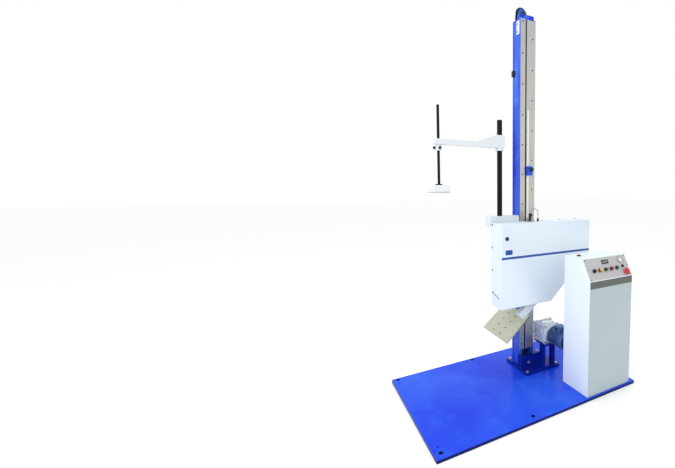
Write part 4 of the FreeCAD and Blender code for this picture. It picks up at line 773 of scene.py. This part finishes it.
# geared motor: finned shell, fan cowl with its grille, terminal box and gland
motor = {"shell": 0.0685, "fin": 0.0755, "fins": 40, "finThick": 0.0022, "cowl": 0.036, "grille": 0.063,
         "recess": 0.003,
         "ring": 0.0024, "spokes": 8, "hub": 0.016, "boxWide": 0.04, "boxNear": 0.052, "boxFar": 0.13,
         "lid": 0.005}
low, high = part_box("motor_body")
fan, drive = low.y, high.y
onShaft = Matrix.Translation((motorX, 0, lowZ)) @ Matrix.Rotation(math.radians(-90), 4, "X")
bm = bmesh.new()
shell, fin, cowl = motor["shell"], motor["fin"], fan + motor["cowl"]
lathe(bm, [(0, fan + motor["recess"]), (motor["grille"], fan + motor["recess"]), (motor["grille"], fan),
           (0.068, fan), (0.0725, fan + 0.003), (0.0752, fan + 0.009), (0.076, fan + 0.014),
           (0.076, cowl),
           (0.0745, cowl), (0.0745, cowl - 0.001), (shell, cowl - 0.001), (shell, drive - 0.014),
           (fin, drive - 0.013),
           (fin, drive - 0.001), (fin - 0.001, drive), (0, drive)], 64, place=onShaft)
for step in range(motor["fins"]):
    turn = math.tau * step / motor["fins"]
    if math.sin(turn) < -0.8:  # the terminal box stands here
        continue
    block(bm, (shell - 0.001, -motor["finThick"] / 2, cowl + 0.005),
          (fin, motor["finThick"] / 2, drive - 0.0135),
          0.0005, 1, place=onShaft @ Matrix.Rotation(turn, 4, "Z"))
for index in range(4):
    radius = motor["hub"] + 0.008 + 0.0115 * index
    lathe(bm, [(radius, fan + 0.0025), (radius, fan + 0.0006), (radius + motor["ring"], fan + 0.0006),
               (radius + motor["ring"], fan + 0.0025)], 48, place=onShaft)
for step in range(motor["spokes"]):
    block(bm, (motor["hub"] * 0.6, -0.0016, fan + 0.0004),
          (motor["grille"] + 0.001, 0.0016, fan + 0.0024), 0.0004, 1,
          place=onShaft @ Matrix.Rotation(math.tau * step / motor["spokes"], 4, "Z"))
lathe(bm, [(0, fan + 0.0002), (motor["hub"] - 0.001, fan + 0.0002), (motor["hub"], fan + 0.0012),
           (motor["hub"], fan + 0.0028)],
      32, place=onShaft)
lathe(bm, [(0, fan + 0.0028), (motor["grille"] - 0.0005, fan + 0.0028),
           (motor["grille"] - 0.0005, fan + 0.0031), (0, fan + 0.0031)], 48, 1, onShaft)
lathe(bm, [(fin - 0.0005, drive - 0.012), (0.0788, drive - 0.0115), (0.0794, drive - 0.0105),
           (0.0794, drive - 0.002),
           (0.0786, drive - 0.0008), (fin - 0.0005, drive - 0.0008)], 64, 2, onShaft)
boxLow = (motorX - motor["boxWide"], drive - motor["boxFar"], lowZ + shell - 0.008)
boxHigh = (motorX + motor["boxWide"], drive - motor["boxNear"], high.z - motor["lid"])
block(bm, boxLow, boxHigh, 0.003)
block(bm, (boxLow[0] - 0.0015, boxLow[1] - 0.0015, boxHigh[2] - 0.0002),
      (boxHigh[0] + 0.0015, boxHigh[1] + 0.0015, high.z),
      0.0015)
bolted(bm, socketUnit, 0.0032, 0.0012, (0, 0, 1),
       [(x, y, high.z - 0.0008) for x in (boxLow[0] + 0.006, boxHigh[0] - 0.006)
                                                 for y in (boxLow[1] + 0.006, boxHigh[1] - 0.006)])
gland = facing((-1, 0, 0), (boxLow[0] + 0.001, (boxLow[1] + boxHigh[1]) / 2,
                            (lowZ + shell + boxHigh[2]) / 2 + 0.002))
lathe(bm, [(0, 0), (0.0095, 0), (0.0095, 0.005), (0.0075, 0.006), (0.0075, 0.012), (0.006, 0.014),
           (0, 0.014)], 24, 1, gland)
piece("finnedMotor", "frame", bm, ["motorBlue", "black", "zinc"], ["motor_body"])

# gearhead bolts, plugs and the bolt rows of its mounting plate
gear = {"flangeFace": 0.0055, "corner": (0.068, 0.067), "lidTop": 0.418,
        "lidAt": ((-0.044, 0.044), (0.0435, 0.1035)),
        "plateFace": 0.1275, "plateRows": (0.3115, 0.4865), "plateBolts": 6, "boss": 0.031,
        "bossAt": 0.0735, "side": 0.475,
        "rowInset": 0.016, "cornerBolt": (0.0085, 0.0075), "lidBolt": (0.006, 0.005),
        "plug": (0.0095, 0.009),
        "plateScrew": (0.0046, 0.004), "bossScrew": (0.0042, 0.0035)}
low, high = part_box("gearhead")
corner = gear["corner"]
bm = bmesh.new()
bolted(bm, hexUnit, *gear["cornerBolt"], (0, -1, 0),
       [(motorX + side * corner[0], gear["flangeFace"], lowZ + rise * corner[1])
                                                 for side in (-1, 1) for rise in (-1, 1)])
bolted(bm, hexUnit, *gear["lidBolt"], (0, 0, 1),
       [(motorX + x, y, gear["lidTop"]) for x in gear["lidAt"][0] for y in gear["lidAt"][1]])
bolted(bm, hexUnit, *gear["plug"], (1, 0, 0), [(gear["side"], 0.048, lowZ - 0.058),
                                               (gear["side"], 0.1, lowZ + 0.05)])
piece("gearheadBolts", "frame", bm, ["zinc"])
bm = bmesh.new()
bolted(bm, socketUnit, *gear["plateScrew"], (0, -1, 0),
       [(x, gear["plateFace"], low.z + gear["rowInset"]
         + step * (high.z - low.z - 2 * gear["rowInset"]) / (gear["plateBolts"] - 1))
        for x in gear["plateRows"] for step in range(gear["plateBolts"])])
bolted(bm, socketUnit, *gear["bossScrew"], (-1, 0, 0),
       [(low.x, gear["bossAt"] + gear["boss"] * math.cos(math.tau * step / 6),
         lowZ + gear["boss"] * math.sin(math.tau * step / 6))
        for step in range(6)])
piece("mountingScrews", "frame", bm, ["blackScrew"])
print("geared motor made")

# console buttons: crowned caps in turned bezels
button = {"crown": 0.0016, "edge": 0.001, "radius": 0.0121, "proud": 0.0082, "barrel": 0.006,
          "least": 0.0135}
panelTop = span("panel_plate", outward)[1]
panelNodes = {"black_button": ("button_black", "black", "black_plastic"),
              "yellow_button": ("button_yellow", "yellow", "yellow_plastic"),
              "green_button": ("button_green", "green", "green_plastic"),
              "red_button": ("button_red", "darkRed", "red_plastic"),
              "start_button": ("button_start", "green", "green_plastic")}


def onPanel(node):
    # the node's centre, brought to the panel's face
    centre = middle(node)
    return centre - outward * (centre.dot(outward) - panelTop)


for node, (body, look, slot) in panelNodes.items():
    low, high = span(node, outward)
    bm = bmesh.new()
    radius, crown, edge = button["radius"], button["crown"], button["edge"]
    rise, drop = high - panelTop + button["proud"], low - panelTop
    lathe(bm, [(0, drop), (radius, drop), (radius, rise - crown - edge),
               (radius - edge * 0.3, rise - crown - edge * 0.3),
               (radius - edge, rise - crown), (radius * 0.66, rise - crown * 0.4),
               (radius * 0.33, rise - crown * 0.1), (0, rise)], 40, place=facing(outward, onPanel(node)))
    piece(node.replace("_button", "") + "ButtonCap", body, bm, [look], [node])

# the emergency stop's wide mushroom head, with its stem
mushroom = {"radius": 0.0278, "stem": 0.0095, "under": 0.0118, "rim": 0.015, "crown": 0.0252}
low, high = span("emergency_stop", outward)
bm = bmesh.new()
radius, stem, under, rim, rise = mushroom.values()
lathe(bm, [(0, low - panelTop), (stem, low - panelTop), (stem, under + 0.0006), (radius - 0.003, under),
           (radius - 0.0008, under + 0.0005), (radius, under + 0.0014), (radius, rim),
           (radius * 0.95, rim + 0.0015),
           (radius * 0.84, rim + 0.0032), (radius * 0.64, rim + 0.0061), (radius * 0.42, rise - 0.0017),
           (radius * 0.2, rise - 0.0003), (0, rise)], 56,
      place=facing(outward, onPanel("emergency_stop")))
piece("stopMushroom", "emergency", bm, ["red"], ["emergency_stop"])

bezel = {"ridges": 24, "lip": 0.0011, "gap": 0.0004}
bm = bmesh.new()
for low, high in islands("button_bezels"):
    centre = (low + high) / 2
    radius = (high.x - low.x) / 2
    deep = (high.y - low.y - 2 * radius * outward.z) / abs(outward.y)
    foot = facing(outward, centre - outward * deep / 2)
    pushed = radius > button["least"]  # a push button's bezel; the others are smaller
    deep += button["barrel"] if pushed else 0
    reach = button["radius"] if pushed else radius * 0.62
    hole = max(reach + bezel["gap"], radius * 0.5)
    lathe(bm, [(hole, 0), (radius, 0), (radius, deep * 0.22), (radius - bezel["lip"], deep * 0.3),
               (radius - bezel["lip"], deep * 0.82), (radius - bezel["lip"] * 1.8, deep),
               (hole + bezel["lip"] * 0.6, deep),
               (hole, deep - bezel["lip"] * 0.6), (hole, 0)], 48, place=foot)
    for ridge in range(bezel["ridges"]):
        turn = Matrix.Rotation(math.tau * ridge / bezel["ridges"], 4, "Z")
        start = radius - bezel["lip"] * 1.1
        block(bm, (start, -bezel["lip"] * 0.5, deep * 0.34),
              (start + bezel["lip"] * 0.7, bezel["lip"] * 0.5, deep * 0.78),
              bezel["lip"] * 0.2, 1, place=foot @ turn)
piece("turnedBezels", "frame", bm, ["blackScrew"], ["button_bezels"])

# the selector's pointer
pointer = {"wide": 0.0022, "long": 0.0064, "proud": 0.0003}
bm = bmesh.new()
selectorTop = onPanel("selector_switch") + outward * (span("selector_switch", outward)[1] - panelTop)
block(bm, (-pointer["wide"] / 2, 0, -0.0002), (pointer["wide"] / 2, pointer["long"], pointer["proud"]),
      0.0001, 1,
      place=facing(outward, selectorTop))
piece("selectorPointer", "selector", bm, ["pad"])

# instruments: display, pressure gauge and the small switch on the console's top
display = {"frame": 0.003, "edge": 0.0012, "sunk": 0.0018, "digits": 4, "stroke": 0.0012}
displayBox, gaugeBox, switchBox = islands("panel_instruments")
# side, height and level bar or upright; every digit reads nought, so it has no middle bar
segments = [(0, 1, 1), (0, -1, 1), (-1, 0.5, 0), (1, 0.5, 0), (-1, -0.5, 0), (1, -0.5, 0)]


def panelBox(box):
    # a panel solid's centre on the face, its width, its height up the slope and how far it stands proud
    low, high = box
    centre = (low + high) / 2
    inside = [vert.co for vert in nodes["panel_instruments"].data.vertices
              if all(low[axis] - 1e-4 < vert.co[axis] < high[axis] + 1e-4 for axis in range(3))]
    rises, outs = [spot.dot(slopeUp) for spot in inside], [spot.dot(outward) for spot in inside]
    face = Vector((centre.x, 0, 0)) + slopeUp * (min(rises) + max(rises)) / 2 + outward * panelTop
    return face, high.x - low.x, max(rises) - min(rises), max(outs) - panelTop


face, wide, high, proud = panelBox(displayBox)
bm = bmesh.new()
seat = facing(outward, face)
rim, edge = display["frame"], display["edge"]
for low, top in (((-wide / 2, -high / 2), (wide / 2, -high / 2 + rim)),
                 ((-wide / 2, high / 2 - rim), (wide / 2, high / 2)),
                 ((-wide / 2, -high / 2 + rim * 0.6), (-wide / 2 + rim, high / 2 - rim * 0.6)),
                 ((wide / 2 - rim, -high / 2 + rim * 0.6), (wide / 2, high / 2 - rim * 0.6))):
    block(bm, (*low, -0.0005), (*top, proud), edge, 2, place=seat)
block(bm, (-wide / 2 + rim / 2, -high / 2 + rim / 2, -0.0005),
      (wide / 2 - rim / 2, high / 2 - rim / 2, proud - display["sunk"]),
      0.0002, 1, 1, place=seat)
cell = (wide - 2.6 * rim) / display["digits"]
for digit in range(display["digits"]):
    middleAt = -(display["digits"] - 1) * cell / 2 + digit * cell
    halfWide, halfHigh, stroke = cell * 0.28, (high - 2 * rim) * 0.28, display["stroke"]
    for side, rise, level in segments:
        long, across = (halfWide - stroke * 0.7, stroke / 2) if level else (stroke / 2,
            (halfHigh - stroke) / 2)
        x, y = middleAt + side * halfWide, rise * halfHigh
        block(bm, (x - long, y - across, proud - display["sunk"] - 0.0001),
              (x + long, y + across, proud - display["sunk"] + 0.0002), 0.0001, 1, 2, place=seat)
piece("countDisplay", "frame", bm, ["black", "glass", "digit"], ["panel_instruments"])

face, wide, high, proud = panelBox(gaugeBox)
finishes["dial"] = dialPaint(face, wide / 2 - 0.004)
bm = bmesh.new()
seat, radius = facing(outward, face), wide / 2
lathe(bm, [(radius * 0.84, 0), (radius, 0), (radius, proud * 0.6), (radius * 0.98, proud * 0.86),
           (radius * 0.93, proud),
           (radius * 0.88, proud * 0.96), (radius * 0.84, proud * 0.6), (radius * 0.84, 0)], 56,
           place=seat)
lathe(bm, [(0, proud * 0.45), (radius * 0.86, proud * 0.45), (radius * 0.86, proud * 0.4),
           (0, proud * 0.4)], 56, 1, seat)
lathe(bm, [(0, proud * 0.72), (radius * 0.09, proud * 0.68), (radius * 0.1, proud * 0.46),
           (0, proud * 0.46)], 24, 2, seat)
needle = seat @ Matrix.Rotation(math.radians(38), 4, "Z")
slab(bm, [(-0.0009, -radius * 0.2), (0.0009, -radius * 0.2), (0.0003, radius * 0.66),
          (-0.0003, radius * 0.66)],
     0.0005, place=needle @ Matrix.Translation((0, 0, proud * 0.55)), shade=2)
piece("pressureGauge", "frame", bm, ["zinc", "dial", "black"])

low, high = switchBox
bm = bmesh.new()
block(bm, low, (high.x, high.y, low.z + (high.z - low.z) * 0.4), 0.0012)
block(bm, (low.x + 0.004, low.y + 0.0035, low.z + 0.003), (high.x - 0.012, high.y - 0.0035, high.z),
      0.0012, 2, 1)
piece("topSwitch", "frame", bm, ["black", "darkRed"])
print("console controls made")

# housing: a blank badge, and a thin black sheet low on its left side, painted shade for a narrow slot
badge = {"low": (-0.094, 1.079), "high": (-0.030, 1.117), "thick": 0.0009, "corner": 0.005}
bm = bmesh.new()
size = [top - low for low, top in zip(badge["low"], badge["high"])]
centre = [(top + low) / 2 for low, top in zip(badge["low"], badge["high"])]
slab(bm, rounded(*size, badge["corner"], 6), badge["thick"], 0.0004,
     place=facing((0, -1, 0), (centre[0], housing[0].y, centre[1])))
slab(bm, rounded(size[0] - 0.008, size[1] - 0.008, badge["corner"] - 0.002, 6), 0.0003, 0.0001, 1,
     place=facing((0, -1, 0), (centre[0], housing[0].y - badge["thick"], centre[1])))
piece("blankBadge", "carriage", bm, ["badge", "badge"])

# painted shade: a thin black sheet on the face stands in for the dark inside of a narrow slot
sideSlot = {"rear": (0.1, 0.757), "front": (0.0, 0.728), "wide": 0.0075, "thick": 0.0005}
bm = bmesh.new()
run = Vector(sideSlot["front"]) - Vector(sideSlot["rear"])
centre = (Vector(sideSlot["front"]) + Vector(sideSlot["rear"])) / 2
tilt = math.atan2(-run.y, -run.x)
slab(bm, rounded(run.length, sideSlot["wide"], sideSlot["wide"] * 0.49, 5), sideSlot["thick"], 0.0002,
     place=Matrix.Translation((housing[0].x, centre.x, centre.y))
     @ Matrix.Rotation(tilt, 4, "X") @ Matrix(((0, 0, -1, 0), (1, 0, 0, 0), (0, -1, 0, 0),
                                               (0, 0, 0, 1))))
piece("sideSlot", "carriage", bm, ["black"])
print("housing details made")

# sheet metal and castings keep their CAD shape and get rounded edges
edges = {
    "base_plate": ("frame", "plateBlue", "blue_paint", 0.0012),
    "column": ("frame", "blue", "blue_paint", 0.0012),
    "column_foot": ("frame", "shadedFootBlue", "blue_paint", 0.0012),
    "motor_stand": ("frame", "shadedFootBlue", "blue_paint", 0.001),
    "wheel_bracket": ("frame", "blue", "blue_paint", 0.001),
    "chain_guard": ("frame", "white", "white_paint", 0.0008),
    "console_cabinet": ("frame", "console", "white_paint", 0.0008),
    "console_strip": ("frame", "trim", "grey_trim", 0.0004),
    "panel_plate": ("frame", "panel", "panel_alloy", 0.0004),
    "front_cover": ("carriage", "cover", "white_paint", 0.0008),
    "carriage_plate": ("carriage", "white", "white_paint", 0.001),
    "post_block": ("carriage", "white", "white_paint", 0.0012),
    "truck": ("carriage", "alloy", "machined_alloy", 0.0012),
    "guide_blocks": ("carriage", "zinc", "zinc_steel", 0.0012),
    "swing_arm": ("swing", "white", "white_paint", 0.0012),
    "drop_leaf": ("swing", "leaf", "leaf_alloy", 0.0008),
    "support_arm": ("arm", "arm", "white_paint", 0.0012),
    "height_stop": ("stop", "blue", "blue_paint", 0.0008),
    "gearhead": ("frame", "alloy", "machined_alloy", 0.0015),
    "upper_limit_switch": ("frame", "black", "black_plastic", 0.001),
    "drive_controls": ("frame", "black", "black_plastic", 0.0015),
}
for name, (body, look, slot, offset) in edges.items():
    eased(name, body, look, offset)
print("edges eased")
